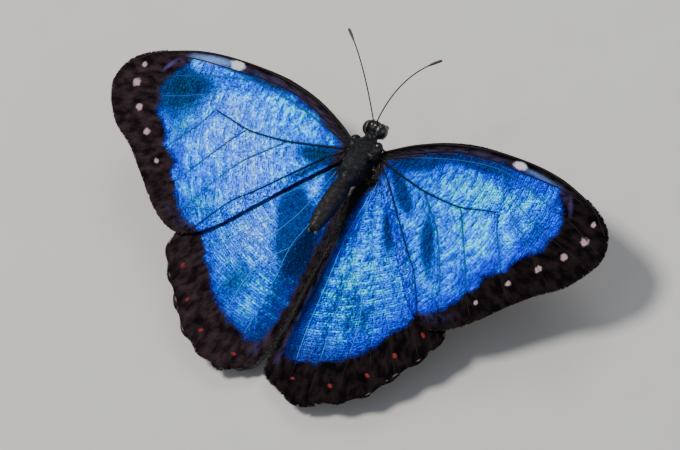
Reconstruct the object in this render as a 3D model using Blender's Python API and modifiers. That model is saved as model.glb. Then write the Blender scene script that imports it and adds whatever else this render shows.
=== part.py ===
"""A blue morpho butterfly resting with its wings spread, life size, in metres, +Z up.

The head points along -Y and the animal's left is +X. The origin lies on the floor, under the
middle of the whole butterfly. Every shape below is set out from the wing hinges in millimetres
as (outward, forward, up), and place() turns that into scene metres.
"""
import math

import bmesh
import bpy
import numpy as np
from mathutils import Vector

MM = 0.001
HINGE_HEIGHT = 13.0
HINGE_OUT = 3.4
HINGE_TO_CENTRE = 16.883
PLATE = 0.5

WING_PITCH = math.radians(9.0)
WING_DIHEDRAL = math.radians(4.5)
HINDWING_SWING = math.radians(2.5)
SEAM_LEAN = 0.030
SEAM_HALF_GAP = 0.35
HINDWING_DROP = 1.35
FOREWING_CAMBER = 0.020
HINDWING_CAMBER = 0.010
TROUGH_DEPTH = 2.0
TROUGH_WIDTH = 3.4
REAR_BOW = 0.17
SCALLOP = 0.35
SCALLOP_START = 38.0
SCALLOP_STEP = 6.4

# Each rib of the forewing: leading edge (outward, forward), then hind edge (outward, forward).
FOREWING_RIBS = (
    (0.0, 1.0, 0.0, -2.2),
    (5.0, 3.9, 4.0, -6.9),
    (12.0, 6.8, 9.5, -13.3),
    (20.0, 8.5, 15.0, -20.2),
    (28.0, 8.8, 20.5, -26.7),
    (35.6, 8.4, 24.6, -30.0),
    (42.1, 7.3, 29.1, -31.0),
    (47.5, 5.5, 35.1, -28.2),
    (51.5, 3.7, 41.2, -22.7),
    (54.7, 1.6, 47.1, -17.6),
    (56.7, -0.5, 52.6, -14.1),
    (57.8, -3.1, 56.0, -10.2),
    (58.1, -5.5, 57.7, -7.1),
)
# Each rib of the hindwing: outer edge (outward, forward), then inner edge (inset, forward).
HINDWING_RIBS = (
    (1.4, -3.0, 2.9, -4.2),
    (8.0, -5.2, 2.2, -6.2),
    (16.0, -9.6, 1.0, -8.6),
    (23.0, -16.0, 0.2, -13.0),
    (27.8, -23.5, 0.0, -18.0),
    (30.1, -30.2, 0.0, -24.0),
    (29.7, -35.0, 0.0, -30.0),
    (27.1, -38.8, 0.0, -36.0),
    (23.9, -42.7, 0.0, -41.0),
    (20.7, -46.7, 0.0, -45.0),
    (17.1, -49.9, 0.4, -48.0),
    (12.9, -52.0, 1.6, -50.6),
    (9.0, -53.5, 6.6, -53.0),
)
RIB_STEPS = 3
CHORD_STEPS = 6

# Stations along the body: forward, height of the centre, half width, half height.
THORAX = (
    (2.7, 1.4, 1.5, 1.5),
    (1.6, 1.1, 2.5, 2.7),
    (-0.6, 0.6, 3.0, 3.6),
    (-3.4, 0.4, 3.1, 3.9),
    (-6.2, 0.7, 2.9, 3.4),
    (-8.2, 1.1, 2.0, 2.3),
)
ABDOMEN = (
    (-8.6, 1.2, 1.7, 1.9),
    (-10.2, 1.5, 2.2, 2.3),
    (-13.5, 2.0, 2.35, 2.4),
    (-17.0, 2.4, 2.1, 2.2),
    (-19.6, 2.6, 1.6, 1.75),
    (-21.2, 2.7, 0.8, 0.9),
)
CAGE_SIDES = 10

HEAD_CENTRE = (0.0, 4.9, 1.6)
HEAD_RADII = (1.75, 1.8, 1.95)
HEAD_SIDE = 1.2
EYE_CENTRE = (1.5, 4.7, 1.5)
EYE_RADII = (1.55, 1.7, 1.75)
BALL_RINGS = 12
BALL_SIDES = 18

ANTENNA_ROOT = (0.42, 5.75, 3.85)
ANTENNA_REACH = (11.3, 14.1, 8.5)
ANTENNA_BOW = (-0.8, 0.6, 2.3)
ANTENNA_RADIUS = 0.25
CLUB_RADIUS = 0.42
CLUB_START = 0.84
ANTENNA_STEPS = 18

COIL_CENTRE = (5.9, -2.3)
COIL_OUTER = 1.5
COIL_PITCH = 0.82
COIL_TURNS = 1.25
COIL_RADIUS = 0.25

MIDLEG = ((1.7, -2.2, -4.5), (2.6, -1.9, -4.9), (7.4, 0.2, -3.6), (11.4, 1.4, -12.0),
          (12.2, 1.7, -12.80), (15.2, 2.9, -12.80))
HINDLEG = ((1.6, -5.6, -4.1), (2.4, -6.3, -4.8), (6.2, -10.0, -5.0), (8.3, -17.4, -12.0),
           (8.5, -18.2, -12.80), (9.6, -21.8, -12.80))
FORELEG = ((1.3, 0.2, -3.55), (1.7, 1.5, -4.2), (1.8, 2.6, -3.7), (1.4, 2.9, -2.7))
LEG_RADII = (0.62, 0.58, 0.42, 0.30, 0.29, 0.27)
FORELEG_RADII = (0.55, 0.5, 0.4, 0.3)

PALP = ((1.0, 6.3, -1.3), (1.0, 6.9, -0.9), (0.9, 7.05, -0.35), (0.8, 6.85, 0.15))
PALP_RADII = (0.34, 0.42, 0.36, 0.25)
CLASPER = ((0.75, -21.6, 2.5), (0.9, -22.4, 2.4), (0.75, -23.0, 2.2))
CLASPER_RADII = (0.5, 0.46, 0.27)

COLORS = {
    "wing": (0.02, 0.16, 0.60, 1.0),
    "body": (0.035, 0.026, 0.020, 1.0),
    "limb": (0.030, 0.020, 0.014, 1.0),
    "eye": (0.012, 0.010, 0.009, 1.0),
    "clasper": (0.55, 0.45, 0.25, 1.0),
}


def clear_scene():
    """Remove every object, so that nothing but the butterfly is left."""
    for obj in list(bpy.data.objects):
        bpy.data.objects.remove(obj, do_unlink=True)


def make_collection():
    """Return a fresh collection for the butterfly, linked to the scene."""
    collection = bpy.data.collections.new("blue_morpho")
    bpy.context.scene.collection.children.link(collection)
    return collection


def make_material(name, roughness):
    """Return a Principled material of the named colour."""
    material = bpy.data.materials.new(name)
    material.use_nodes = True
    shader = material.node_tree.nodes["Principled BSDF"]
    shader.inputs["Base Color"].default_value = COLORS[name]
    shader.inputs["Roughness"].default_value = roughness
    return material


def place(points, side=1):
    """Turn (outward, forward, up) millimetres from the hinge line into scene metres."""
    points = np.asarray(points, float).reshape(-1, 3)
    turned = points * (side, -1.0, 1.0)
    turned[:, 1] -= HINGE_TO_CENTRE
    turned[:, 2] += HINGE_HEIGHT
    return turned * MM


def smooth_through(rows, steps):
    """Pass a Catmull-Rom curve through the rows, with a number of steps between each pair."""
    rows = np.asarray(rows, float)
    padded = np.vstack([2 * rows[0] - rows[1], rows, 2 * rows[-1] - rows[-2]])
    count = (len(rows) - 1) * steps + 1
    where = np.linspace(0.0, len(rows) - 1.0, count)
    start = np.minimum(where.astype(int), len(rows) - 2)
    t = (where - start)[:, None]
    a, b, c, d = (padded[start + k] for k in range(4))
    return 0.5 * (2 * b + (c - a) * t + (2 * a - 5 * b + 4 * c - d) * t**2
                  + (3 * b - 3 * c + d - a) * t**3)


def link_mesh(name, mesh, material, collection):
    """Show a mesh as a named object with its material, shaded smooth."""
    mesh.materials.append(material)
    mesh.shade_smooth()
    obj = bpy.data.objects.new(name, mesh)
    collection.objects.link(obj)
    return obj


def face_out(work):
    """Turn every face of a closed bmesh outward."""
    bmesh.ops.recalc_face_normals(work, faces=work.faces)
    if work.calc_volume(signed=True) < 0:
        bmesh.ops.reverse_faces(work, faces=work.faces)


def cut_flat(work, point, normal):
    """Cut away what lies beyond a plane and close the cut with a flat face."""
    everything = list(work.verts) + list(work.edges) + list(work.faces)
    bmesh.ops.bisect_plane(work, geom=everything, plane_co=point, plane_no=normal,
                           clear_outer=True, dist=0.00000001)
    bmesh.ops.holes_fill(work, edges=[edge for edge in work.edges if edge.is_boundary])


def curve_object(name, path, radii, side, material, collection):
    """A round limb: a curve whose bevel follows the radii, with filled caps."""
    curve = bpy.data.curves.new(name, "CURVE")
    curve.dimensions = "3D"
    curve.bevel_depth = MM
    curve.bevel_resolution = 1
    curve.use_fill_caps = True
    spline = curve.splines.new("POLY")
    points = place(path, side)
    spline.points.add(len(points) - 1)
    for point, where, radius in zip(spline.points, points, radii):
        point.co = (*where, 1.0)
        point.radius = float(radius)
    obj = bpy.data.objects.new(name, curve)
    curve.materials.append(material)
    collection.objects.link(obj)
    return obj


def smooth_limb(name, joints, radii, side, material, collection):
    """A round limb that bends smoothly through its joints."""
    widths = smooth_through([[radius] for radius in radii], 3)[:, 0]
    return curve_object(name, smooth_through(joints, 3), widths, side, material, collection)


def add_leg(name, joints, radii, side, material, collection):
    """A leg of straight segments, with its foot cut flat at the floor."""
    path = []
    widths = []
    for (a, b), (ra, rb) in zip(zip(joints, joints[1:]), zip(radii, radii[1:])):
        for t in (0.12, 0.5, 0.88):
            path.append(np.asarray(a) * (1 - t) + np.asarray(b) * t)
            widths.append(ra * (1 - t) + rb * t)
    curve = curve_object(name, path, widths, side, material, collection)
    bpy.context.view_layer.update()
    graph = bpy.context.evaluated_depsgraph_get()
    mesh = bpy.data.meshes.new_from_object(curve.evaluated_get(graph))
    bpy.data.objects.remove(curve, do_unlink=True)
    work = bmesh.new()
    work.from_mesh(mesh)
    bmesh.ops.remove_doubles(work, verts=work.verts, dist=0.000001)
    cut_flat(work, Vector((0.0, 0.0, 0.0)), Vector((0.0, 0.0, -1.0)))
    face_out(work)
    work.to_mesh(mesh)
    work.free()
    mesh.materials.clear()
    link_mesh(name, mesh, material, collection)


def add_body(name, stations, material, collection):
    """Part of the body: a coarse cage of oval rings, rounded by subdivision."""
    angles = (np.arange(CAGE_SIDES) + 0.5) * 2 * math.pi / CAGE_SIDES
    swell = 1.0 / math.cos(math.pi / CAGE_SIDES)
    work = bmesh.new()
    rings = []
    for forward, height, wide, tall in stations:
        ring = np.stack([wide * swell * np.cos(angles), np.full(CAGE_SIDES, forward),
                         height + tall * swell * np.sin(angles)], axis=1)
        rings.append([work.verts.new(point) for point in place(ring)])
    for near, far in zip(rings, rings[1:]):
        for j in range(CAGE_SIDES):
            k = (j + 1) % CAGE_SIDES
            work.faces.new((near[j], near[k], far[k], far[j]))
    work.faces.new(rings[0])
    work.faces.new(rings[-1])
    face_out(work)
    mesh = bpy.data.meshes.new(name)
    work.to_mesh(mesh)
    work.free()
    obj = link_mesh(name, mesh, material, collection)
    smooth = obj.modifiers.new("round", "SUBSURF")
    smooth.levels = 1
    smooth.render_levels = 1


def add_ball(name, centre, radii, cuts, side, material, collection):
    """An oval ball, cut flat where each cut gives (outward place, direction)."""
    work = bmesh.new()
    bmesh.ops.create_uvsphere(work, u_segments=BALL_SIDES, v_segments=BALL_RINGS, radius=1.0)
    for vertex in work.verts:
        point = np.array(vertex.co) * radii + centre
        vertex.co = place(point, side)[0]
    for outward, direction in cuts:
        cut_flat(work, Vector((side * outward * MM, 0.0, 0.0)),
                 Vector((side * direction, 0.0, 0.0)))
    face_out(work)
    mesh = bpy.data.meshes.new(name)
    work.to_mesh(mesh)
    work.free()
    link_mesh(name, mesh, material, collection)


def add_antenna(name, side, material, collection):
    """A feeler that arches up and outward and thickens into a slender club."""
    t = np.linspace(0.0, 1.0, ANTENNA_STEPS)[:, None]
    path = np.array(ANTENNA_ROOT) + np.array(ANTENNA_REACH) * t
    path = path + np.array(ANTENNA_BOW) * 4 * t * (1 - t)
    swell = np.clip((t[:, 0] - CLUB_START) / (1 - CLUB_START), 0, 1)
    radii = ANTENNA_RADIUS + (CLUB_RADIUS - ANTENNA_RADIUS) * np.sin(swell * math.pi * 0.72)
    curve_object(name, path, radii, side, material, collection)


def add_proboscis(material, collection):
    """The tongue, coiled flat below the face."""
    turn = np.linspace(0.0, COIL_TURNS * 2 * math.pi, 26)
    radius = COIL_OUTER - COIL_PITCH * turn / (2 * math.pi)
    angle = math.radians(120) - turn
    path = np.stack([np.zeros_like(turn), COIL_CENTRE[0] + radius * np.cos(angle),
                     COIL_CENTRE[1] + radius * np.sin(angle)], axis=1)
    curve_object("proboscis", path, [COIL_RADIUS] * len(turn), 1, material, collection)


def wing_point(side, swing, plane, lift):
    """Carry flat wing coordinates onto the wing's tilted plane beside the body."""
    turn = -side * swing
    u = plane[..., 0] * math.cos(turn) - plane[..., 1] * math.sin(turn)
    v = plane[..., 0] * math.sin(turn) + plane[..., 1] * math.cos(turn)
    forward = v * math.cos(WING_PITCH) - lift * math.sin(WING_PITCH)
    up = v * math.sin(WING_PITCH) + lift * math.cos(WING_PITCH)
    out = u * math.cos(WING_DIHEDRAL) - up * math.sin(WING_DIHEDRAL)
    rise = u * math.sin(WING_DIHEDRAL) + up * math.cos(WING_DIHEDRAL)
    return np.stack([HINGE_OUT + out, forward, rise], axis=-1)


def forewing_surface(side):
    """Flat place, lift and swing of a forewing, rib by rib from root to tip."""
    rows = smooth_through(FOREWING_RIBS, RIB_STEPS)
    t = np.linspace(0.0, 1.0, CHORD_STEPS + 1)
    plane = rows[:, None, :2] * (1 - t)[None, :, None] + rows[:, None, 2:] * t[None, :, None]
    chord = np.linalg.norm(rows[:, 2:] - rows[:, :2], axis=1)
    lift = FOREWING_CAMBER * chord[:, None] * np.sin(math.pi * t)[None, :]
    return plane, lift, 0.0


def scallops(edge):
    """Shallow waves along the outer margin of a hindwing, with a tooth at each vein."""
    run = np.concatenate([[0.0], np.cumsum(np.linalg.norm(np.diff(edge, axis=0), axis=1))])
    tangent = np.gradient(edge, axis=0)
    tangent /= np.linalg.norm(tangent, axis=1)[:, None]
    outward = np.stack([-tangent[:, 1], tangent[:, 0]], axis=1)
    start = np.clip((run - SCALLOP_START) / SCALLOP_STEP, 0, 1)
    return outward * (SCALLOP * start * np.cos(run * 2 * math.pi / SCALLOP_STEP))[:, None]


def hindwing_surface(side):
    """Flat place, lift and swing of a hindwing, which meets its fellow under the abdomen."""
    rows = smooth_through(HINDWING_RIBS, RIB_STEPS)
    back = -rows[:, 3]
    trough = TROUGH_DEPTH * np.clip(back / 12 - 0.6, 0, 1) * np.clip((56 - back) / 16, 0, 1)
    sink = back * math.sin(WING_PITCH) + HINDWING_DROP + trough
    lean = math.tan(HINDWING_SWING) + SEAM_LEAN
    reach = HINGE_OUT - SEAM_HALF_GAP - side * lean * back + sink * math.sin(WING_DIHEDRAL)
    inner = np.stack([rows[:, 2] - reach, rows[:, 3]], axis=1)
    outer = rows[:, :2] + scallops(rows[:, :2])
    t = np.linspace(0.0, 1.0, CHORD_STEPS + 1)
    plane = outer[:, None, :] * (1 - t)[None, :, None] + inner[:, None, :] * t[None, :, None]
    chord = np.linalg.norm(inner - outer, axis=1)
    end = np.clip(np.linspace(-5.0, 1.0, len(rows)), 0, 1)
    plane[:, :, 1] -= (REAR_BOW * end * chord)[:, None] * (4 * t * (1 - t))[None, :]
    lift = HINDWING_CAMBER * chord[:, None] * np.sin(math.pi * t)[None, :]
    inset = plane[:, :, 0] - inner[:, None, 0]
    lift = lift - trough[:, None] * np.exp(-((inset / TROUGH_WIDTH) ** 2))
    return plane, lift - HINDWING_DROP, HINDWING_SWING


def add_wing(name, side, surface, material, collection):
    """A wing: a net of ribs given an even thickness."""
    plane, lift, swing = surface(side)
    rows, across = plane.shape[:2]
    points = place(wing_point(side, swing, plane, lift), side)
    faces = []
    for i in range(rows - 1):
        for j in range(across - 1):
            a = i * across + j
            faces.append((a, a + 1, a + across + 1, a + across))
    mesh = bpy.data.meshes.new(name)
    mesh.from_pydata([tuple(point) for point in points], [], faces)
    obj = link_mesh(name, mesh, material, collection)
    plate = obj.modifiers.new("thickness", "SOLIDIFY")
    plate.thickness = PLATE * MM
    plate.offset = 0.0


def build():
    """Build every named part of the butterfly."""
    clear_scene()
    collection = make_collection()
    wing = make_material("wing", 0.45)
    body = make_material("body", 0.85)
    limb = make_material("limb", 0.6)
    eye = make_material("eye", 0.2)
    pale = make_material("clasper", 0.6)
    add_body("thorax", THORAX, body, collection)
    add_body("abdomen", ABDOMEN, body, collection)
    sides = ((HEAD_SIDE, 1.0), (-HEAD_SIDE, -1.0))
    add_ball("head", HEAD_CENTRE, HEAD_RADII, sides, 1, body, collection)
    add_proboscis(limb, collection)
    for side, word in ((1, "left"), (-1, "right")):
        add_wing("forewing_" + word, side, forewing_surface, wing, collection)
        add_wing("hindwing_" + word, side, hindwing_surface, wing, collection)
        inner = ((EYE_CENTRE[0], -1.0),)
        add_ball("eye_" + word, EYE_CENTRE, EYE_RADII, inner, side, eye, collection)
        add_antenna("antenna_" + word, side, limb, collection)
        smooth_limb("palp_" + word, PALP, PALP_RADII, side, body, collection)
        smooth_limb("clasper_" + word, CLASPER, CLASPER_RADII, side, pale, collection)
        add_leg("foreleg_" + word, FORELEG, FORELEG_RADII, side, limb, collection)
        add_leg("midleg_" + word, MIDLEG, LEG_RADII, side, limb, collection)
        add_leg("hindleg_" + word, HINDLEG, LEG_RADII, side, limb, collection)


build()
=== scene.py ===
"""The blue morpho butterfly dressed: scaled wings, haired body, domed eyes and ringed feelers.

Shapes are worked out in millimetres as (outward, forward, up) from the wing hinges, on the same
plan as the solids, and place() carries them into the frame: head towards -Y, the animal's left
towards +X, the floor at z = 0. A side is 1 on the animal's left and -1 on its right.
"""

import math

import bpy
import numpy as np
from mathutils import Matrix


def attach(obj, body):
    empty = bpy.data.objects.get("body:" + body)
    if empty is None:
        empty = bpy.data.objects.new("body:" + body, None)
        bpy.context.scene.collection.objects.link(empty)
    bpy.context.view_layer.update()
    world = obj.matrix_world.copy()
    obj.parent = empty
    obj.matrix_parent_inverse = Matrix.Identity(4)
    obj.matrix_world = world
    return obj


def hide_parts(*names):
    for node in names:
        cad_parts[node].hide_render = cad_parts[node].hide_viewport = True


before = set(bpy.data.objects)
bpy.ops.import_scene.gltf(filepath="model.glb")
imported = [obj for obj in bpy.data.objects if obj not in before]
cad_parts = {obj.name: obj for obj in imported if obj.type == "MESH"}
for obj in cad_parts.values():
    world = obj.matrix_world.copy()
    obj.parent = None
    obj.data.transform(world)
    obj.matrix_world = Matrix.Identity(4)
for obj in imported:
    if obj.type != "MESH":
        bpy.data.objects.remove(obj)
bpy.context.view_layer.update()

MM = 0.001
TURN = 2 * math.pi
SIDES = {1: "left", -1: "right"}
HINGE_HEIGHT = 13.0
HINGE_OUT = 3.4
HINGE_TO_CENTRE = 16.883
WING_PITCH = math.radians(9.0)
WING_DIHEDRAL = math.radians(4.5)
HINDWING_SWING = math.radians(2.5)
SEAM_LEAN = 0.030
SEAM_HALF_GAP = 0.35
HINDWING_DROP = 1.35
CAMBER = {"fore": 0.020, "hind": 0.010}
TROUGH_DEPTH = 2.0
TROUGH_WIDTH = 3.4
REAR_BOW = 0.17
SCALLOP = 0.35
SCALLOP_START = 38.0
SCALLOP_STEP = 6.4
RIB_STEPS = 16
CHORD_STEPS = 120
SKIN_HALF = 0.09
# The middle of the arcs in which a wing's scales lie.
ARC_CENTRE = {"fore": (-6.0, 2.0), "hind": (-4.0, 6.0)}
ROW_PITCH = 0.56
SCALE_PITCH = 0.31
FRINGE_PITCH = 0.07
PATCH = 0.003
FAR = 1e9
# Each rib: leading edge (outward, forward), then hind edge (outward, forward). The
# hindwing's hind edge is given as an inset from the seam between the hindwings.
RIBS = {
    "fore": ((0, 1, 0, -2.2), (5, 3.9, 4, -6.9), (12, 6.8, 9.5, -13.3), (20, 8.5, 15, -20.2),
        (28, 8.8, 20.5, -26.7), (35.6, 8.4, 24.6, -30), (42.1, 7.3, 29.1, -31),
        (47.5, 5.5, 35.1, -28.2), (51.5, 3.7, 41.2, -22.7), (54.7, 1.6, 47.1, -17.6),
        (56.7, -0.5, 52.6, -14.1), (57.8, -3.1, 56, -10.2), (58.1, -5.5, 57.7, -7.1)),
    "hind": ((1.4, -3, 2.9, -4.2), (8, -5.2, 2.2, -6.2), (16, -9.6, 1, -8.6), (23, -16, 0.2, -13),
        (27.8, -23.5, 0, -18), (30.1, -30.2, 0, -24), (29.7, -35, 0, -30), (27.1, -38.8, 0, -36),
        (23.9, -42.7, 0, -41), (20.7, -46.7, 0, -45), (17.1, -49.9, 0.4, -48),
        (12.9, -52, 1.6, -50.6), (9, -53.5, 6.6, -53)),
}
# Veins: half width at the root, darkness within the blue, and path as (outward, forward).
VEINS = {
    "fore": {
        "costa": (0.4, 1, ((0.5, 1), (8, 4.9), (16, 7.2), (28, 8.5), (40, 7.4), (51, 3.6),
            (57, -1.6))),
        "subcosta": (0.26, 1, ((1, 0.2), (8, 3), (16, 5.7), (25, 6.5), (33, 5.9), (42, 5.2),
            (49, 3.7))),
        "radius": (0.24, 0.7, ((1, -0.3), (9, 2.2), (18, 4.3), (27, 5.2), (31.6, 4.4), (36, 3.2),
            (42.6, 0.8), (49, -1.2), (57.6, -5.6))),
        "cell_end": (0.16, 0.5, ((28.7, 4.9), (30.5, 2.4), (32.8, 0.8), (33.9, -0.2), (33.4, -1.8),
            (32.3, -3.6))),
        "medial_1": (0.16, 0.6, ((33.9, 0), (36.5, -1.4), (42, -3.9), (47.5, -5.9), (51.8, -7.2),
            (56.8, -9.4))),
        "medial_2": (0.16, 0.6, ((33.6, -1.4), (37, -4.6), (41, -7.6), (45.5, -11.6),
            (50.2, -15))),
        "cubital": (0.34, 1, ((0.6, -0.7), (4, -1.7), (8.9, -3), (13.8, -4.2), (18.4, -4.8),
            (23.6, -5.1), (28, -4.4), (32.3, -3.7))),
        "medial_3": (0.2, 0.8, ((32.3, -3.7), (34, -7.6), (36.4, -11.4), (38.6, -15), (41, -18.4),
            (43.6, -20.8))),
        "cubital_1": (0.2, 0.8, ((23.6, -5.1), (26.4, -9.4), (28.9, -13.6), (31.3, -17.9),
            (33.6, -21.9), (36.4, -26.2))),
        "cubital_2": (0.2, 0.8, ((13.8, -4.2), (17.2, -7.6), (20.6, -11), (23.4, -15.2), (26, -20),
            (28.2, -25.4), (30, -30.3))),
        "anal": (0.26, 1, ((0.8, -1.2), (5.1, -5), (8.6, -8.9), (12.2, -12.8), (16, -17),
            (20, -21.2), (25, -29.4))),
    },
    "hind": {
        "rear_1": (0.18, 0.1, ((0.9, -6), (-0.2, -13.5), (-0.9, -19), (-0.6, -30), (-0.4, -40),
            (0.6, -52))),
        "cubital_2": (0.2, 0.25, ((1.2, -5), (1.2, -11), (2.4, -18), (4.2, -24.5), (4.4, -33),
            (5.2, -41), (6.4, -53))),
        "cubital_1": (0.2, 0.2, ((4.2, -24.5), (6.4, -26.8), (9, -30), (10.6, -34.5),
            (11.6, -42.5), (12.6, -51.8))),
        "medial_3": (0.2, 0.3, ((1.6, -5.4), (3.4, -11), (5.6, -17.2), (9.2, -23.6), (13, -30.6),
            (15.7, -39), (19.3, -48.2))),
        "medial_2": (0.2, 0.3, ((8.5, -21.9), (12.2, -26), (17.4, -33.6), (23.6, -43.6))),
        "medial_1": (0.2, 0.3, ((9, -18), (15, -24.4), (21.5, -31.8), (27.2, -38.6))),
        "radius": (0.24, 0.3, ((1.5, -4.2), (8.5, -12.4), (17, -19.6), (24.5, -27),
            (29.9, -34.2))),
    },
}
# The blue field of each wing, as a closed outline in wing coordinates.
BLUE = {
    "fore": ((2.6, -0.2), (5, 0.6), (8, 2.1), (11.4, 3.7), (16.3, 5.4), (21, 6), (25.3, 6.3),
        (29, 6.1), (34.5, 5.6), (38.3, 5.5), (42, 4.8), (44.6, 1.6), (46.4, -2.3), (46.2, -4.4),
        (45, -6.2), (44.9, -8.4), (41.8, -10.2), (40, -12.2), (39, -14.6), (36.8, -15.5),
        (35.2, -17.2), (34.3, -20), (32.4, -21.9), (31, -24.4), (28.6, -26.8), (25.2, -28),
        (22.8, -28.9), (20.2, -28.2), (14.4, -21.4), (8.6, -14.4), (3.6, -8.2), (2.2, -3.6)),
    "hind": ((0.2, -4.6), (10, -5), (20, -12), (25.5, -21), (24.8, -26), (22.4, -29.8),
        (20.9, -32.2), (18.9, -34), (17.6, -36.2), (16.4, -38.2), (14.4, -40), (12, -41.6),
        (9.8, -43), (7.4, -44.2), (4.9, -45.4), (2.4, -45.4), (0.2, -46.2), (-3, -45.6), (-9, -44),
        (-9, -5)),
}
# How far the hindwing's blue stays from its inner edge, left and right: the dark inner strip,
# wider on the right, where it is partly painted shade beside the abdomen.
HIND_BORDER = {1: 1.6, -1: 2}
# Patches of tone: outward, forward, half length, half width, turn in degrees, weight. They paint
# the iridescence as one light and view show it, so they differ from left to right: lavender is a
# painted reflection, teal is painted sheen and shade, and the last table is painted highlights
# where the weight is above 0 and painted shade where it is below.
LAVENDER = {
    ("fore", 1): ((21, -9, 10, 6, 0, 1), (28, -1.5, 8, 3.5, 0, 0.8), (17, -17, 6, 5, -40, 0.9),
        (40, 4, 4, 2, 0, 0.4), (30, -10, 5, 5, 0, 0.5)),
    ("fore", -1): ((15, -19, 6, 2, -50, 0.35), (5, -6, 4, 1.2, -45, 0.5)),
    ("hind", 1): ((12.5, -22, 5, 6, 0, 1), (7, -28, 3.5, 2.5, 0, 0.8),
        (4.5, -10.5, 1.5, 3, 0, 0.5), (16, -27, 4, 4, 0, 0.5)),
    ("hind", -1): ((-3, -40, 3, 3, 0, 0.5), (2, -43, 6, 2.5, 0, 0.6), (3, -6, 2, 2, 0, 0.4)),
}
# Teal: the blue turned darker and greener, a painted sheen and shade of the iridescence.
TEAL = {
    ("fore", 1): ((6, -4, 4, 2, -15, 1), (25, -24, 5, 4, 0, 0.55), (41.5, -2, 6, 5.5, -25, 1),
        (14, 3, 8, 2, 8, 0.4), (24, 5.6, 8, 0.8, 0, 0.6), (7, -8.5, 3, 0.9, -48, 0.7),
        (37, -9, 3, 4, 0, 0.5)),
    ("fore", -1): ((24, 0, 9, 2.5, 0, 0.45), (38, 2, 4, 2, 0, 0.3), (7, 2, 4, 2, 0, 0.4)),
    ("hind", 1): ((12, -34, 4, 4, 0, 0.8), (19, -28, 4, 2.5, 0, 0.5), (5, -34, 3, 4, 0, 0.4),
        (3, -24, 4, 5, 0, 0.5), (8, -6, 5, 2, -45, 0.6)),
    ("hind", -1): ((-3, -16, 1.5, 5, 0, 1), (-2, -30, 2, 6, 0, 0.6), (5, -30, 4, 6, 0, 0.5),
        (9, -34, 3, 4, 0, 0.4)),
}
# Painted highlights (weight above 0) and painted shade (below 0): the body's shadow on the left
# hindwing, shade in the folds and the shaded base of the right forewing.
LIGHT_AND_SHADE_PATCHES = {
    ("fore", 1): ((14, 2, 7, 2.5, 10, 0.7), (21, -9, 9, 6, 0, 0.5), (28, -2, 7, 3.5, 0, 0.3),
        (41.5, -1.6, 6.5, 4.6, -32, -1.5), (45, -5, 3, 3, 0, -0.6), (5.5, -4, 5, 1.8, -15, -1.5),
        (24, 6, 8, 0.7, 0, -1.1), (39.5, 4, 4, 1.8, 0, 0.6), (38, -11, 3, 4, 0, -0.3),
        (7, -8.5, 4, 0.9, -48, -0.8), (25, -24, 5, 4, 0, -0.25)),
    ("fore", -1): ((9, 2.2, 5.5, 2.4, 18, -1.9), (22, 4.9, 9, 1.4, 0, -1.5),
        (25, -1, 8, 2.8, 0, 1), (38, 1, 3, 2.5, 0, 0.8), (28, -9, 8, 4, -20, 0.7),
        (9, -6, 6, 1.4, -42, -1.5), (19, -13, 8, 1.6, -62, -1.2), (15, -10, 3, 3, 0, 0.6),
        (3.5, -4.5, 3, 1.5, -45, 0.8), (15, -19, 6, 1.8, -50, 0.5), (31, 2, 2.5, 1.2, -60, -0.5),
        (42, -5, 3, 5, 0, -0.5)),
    ("hind", 1): ((4, -22, 4, 7.5, -15, -2), (7.5, -16, 3, 3.5, 0, -1.6),
        (4.5, -10.5, 1.2, 3.2, 0, 0.8), (12.5, -21, 4.5, 5, 0, 0.6), (6.5, -27.5, 3, 2, 0, 0.3),
        (12, -35, 3, 3, 0, -0.5), (14, -38, 3, 3, 0, -0.3), (2.5, -7, 1.5, 4, 0, -0.8)),
    ("hind", -1): ((2, -13, 3, 7, 0, 0.3), (8.2, -12, 6.5, 1.8, -72, -1.7),
        (12.5, -10, 5, 2, -65, 0.8), (17.5, -14, 6.5, 1.7, -67, -1.4), (22, -18, 5, 2.5, -55, 0.5),
        (2, -26, 4, 6, 0, 0.9), (8, -24, 3, 4, 0, 0.6), (3.5, -30, 3.5, 0.6, -85, -0.7),
        (8, -35.5, 2.5, 0.7, -85, -0.8), (11.5, -34, 3, 0.9, -75, -0.9),
        (-4, -30, 1.4, 10, 0, -1.6)),
}
# Pale dots of the forewings: outward, forward, radius.
PALE_DOTS = {
    ("fore", 1): ((53, -0.1, 0.66), (52.6, -4.4, 0.96), (49.3, -9.2, 0.84), (44.9, -13.6, 0.78),
        (39.5, -18.7, 0.6)),
    ("fore", -1): ((53.4, 0.1, 0.62), (53.3, -3.9, 0.96), (50.5, -8.2, 0.82), (46.3, -12.2, 0.76),
        (41.4, -17, 0.62), (36.3, -22.8, 0.5)),
}
# Marks: outward, forward, half length, half width, turn in degrees. White flecks by the
# leading edge or along the hindwing's rim, then the gleam, then the red dots.
RIM_FLECKS = ((30.3, -32, 0.8, 0.17, -95), (28.8, -36.4, 0.7, 0.17, -125),
    (27.1, -38.7, 0.8, 0.17, -128), (23.4, -43.1, 0.8, 0.18, -130), (22.1, -44.7, 0.5, 0.16, -130),
    (19.1, -48.5, 0.8, 0.17, -140), (16.9, -50.3, 0.6, 0.17, -145), (8.9, -53.8, 0.9, 0.18, -175))
FLECKS = {("fore", 1): ((32.9, 7.2, 1.8, 1.15, -4),), ("fore", -1): ((32, 7.2, 1.7, 0.85, -4),),
          ("hind", 1): RIM_FLECKS, ("hind", -1): RIM_FLECKS}
GLEAM = {
    ("fore", 1): ((38.3, 6.35, 6.2, 1.05, -9), (47.4, 2, 2.2, 0.6, -62)),
    ("fore", -1): ((37, 6.3, 5.4, 0.55, -9), (46.8, 2.2, 2.6, 0.6, -66)),
}
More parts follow.
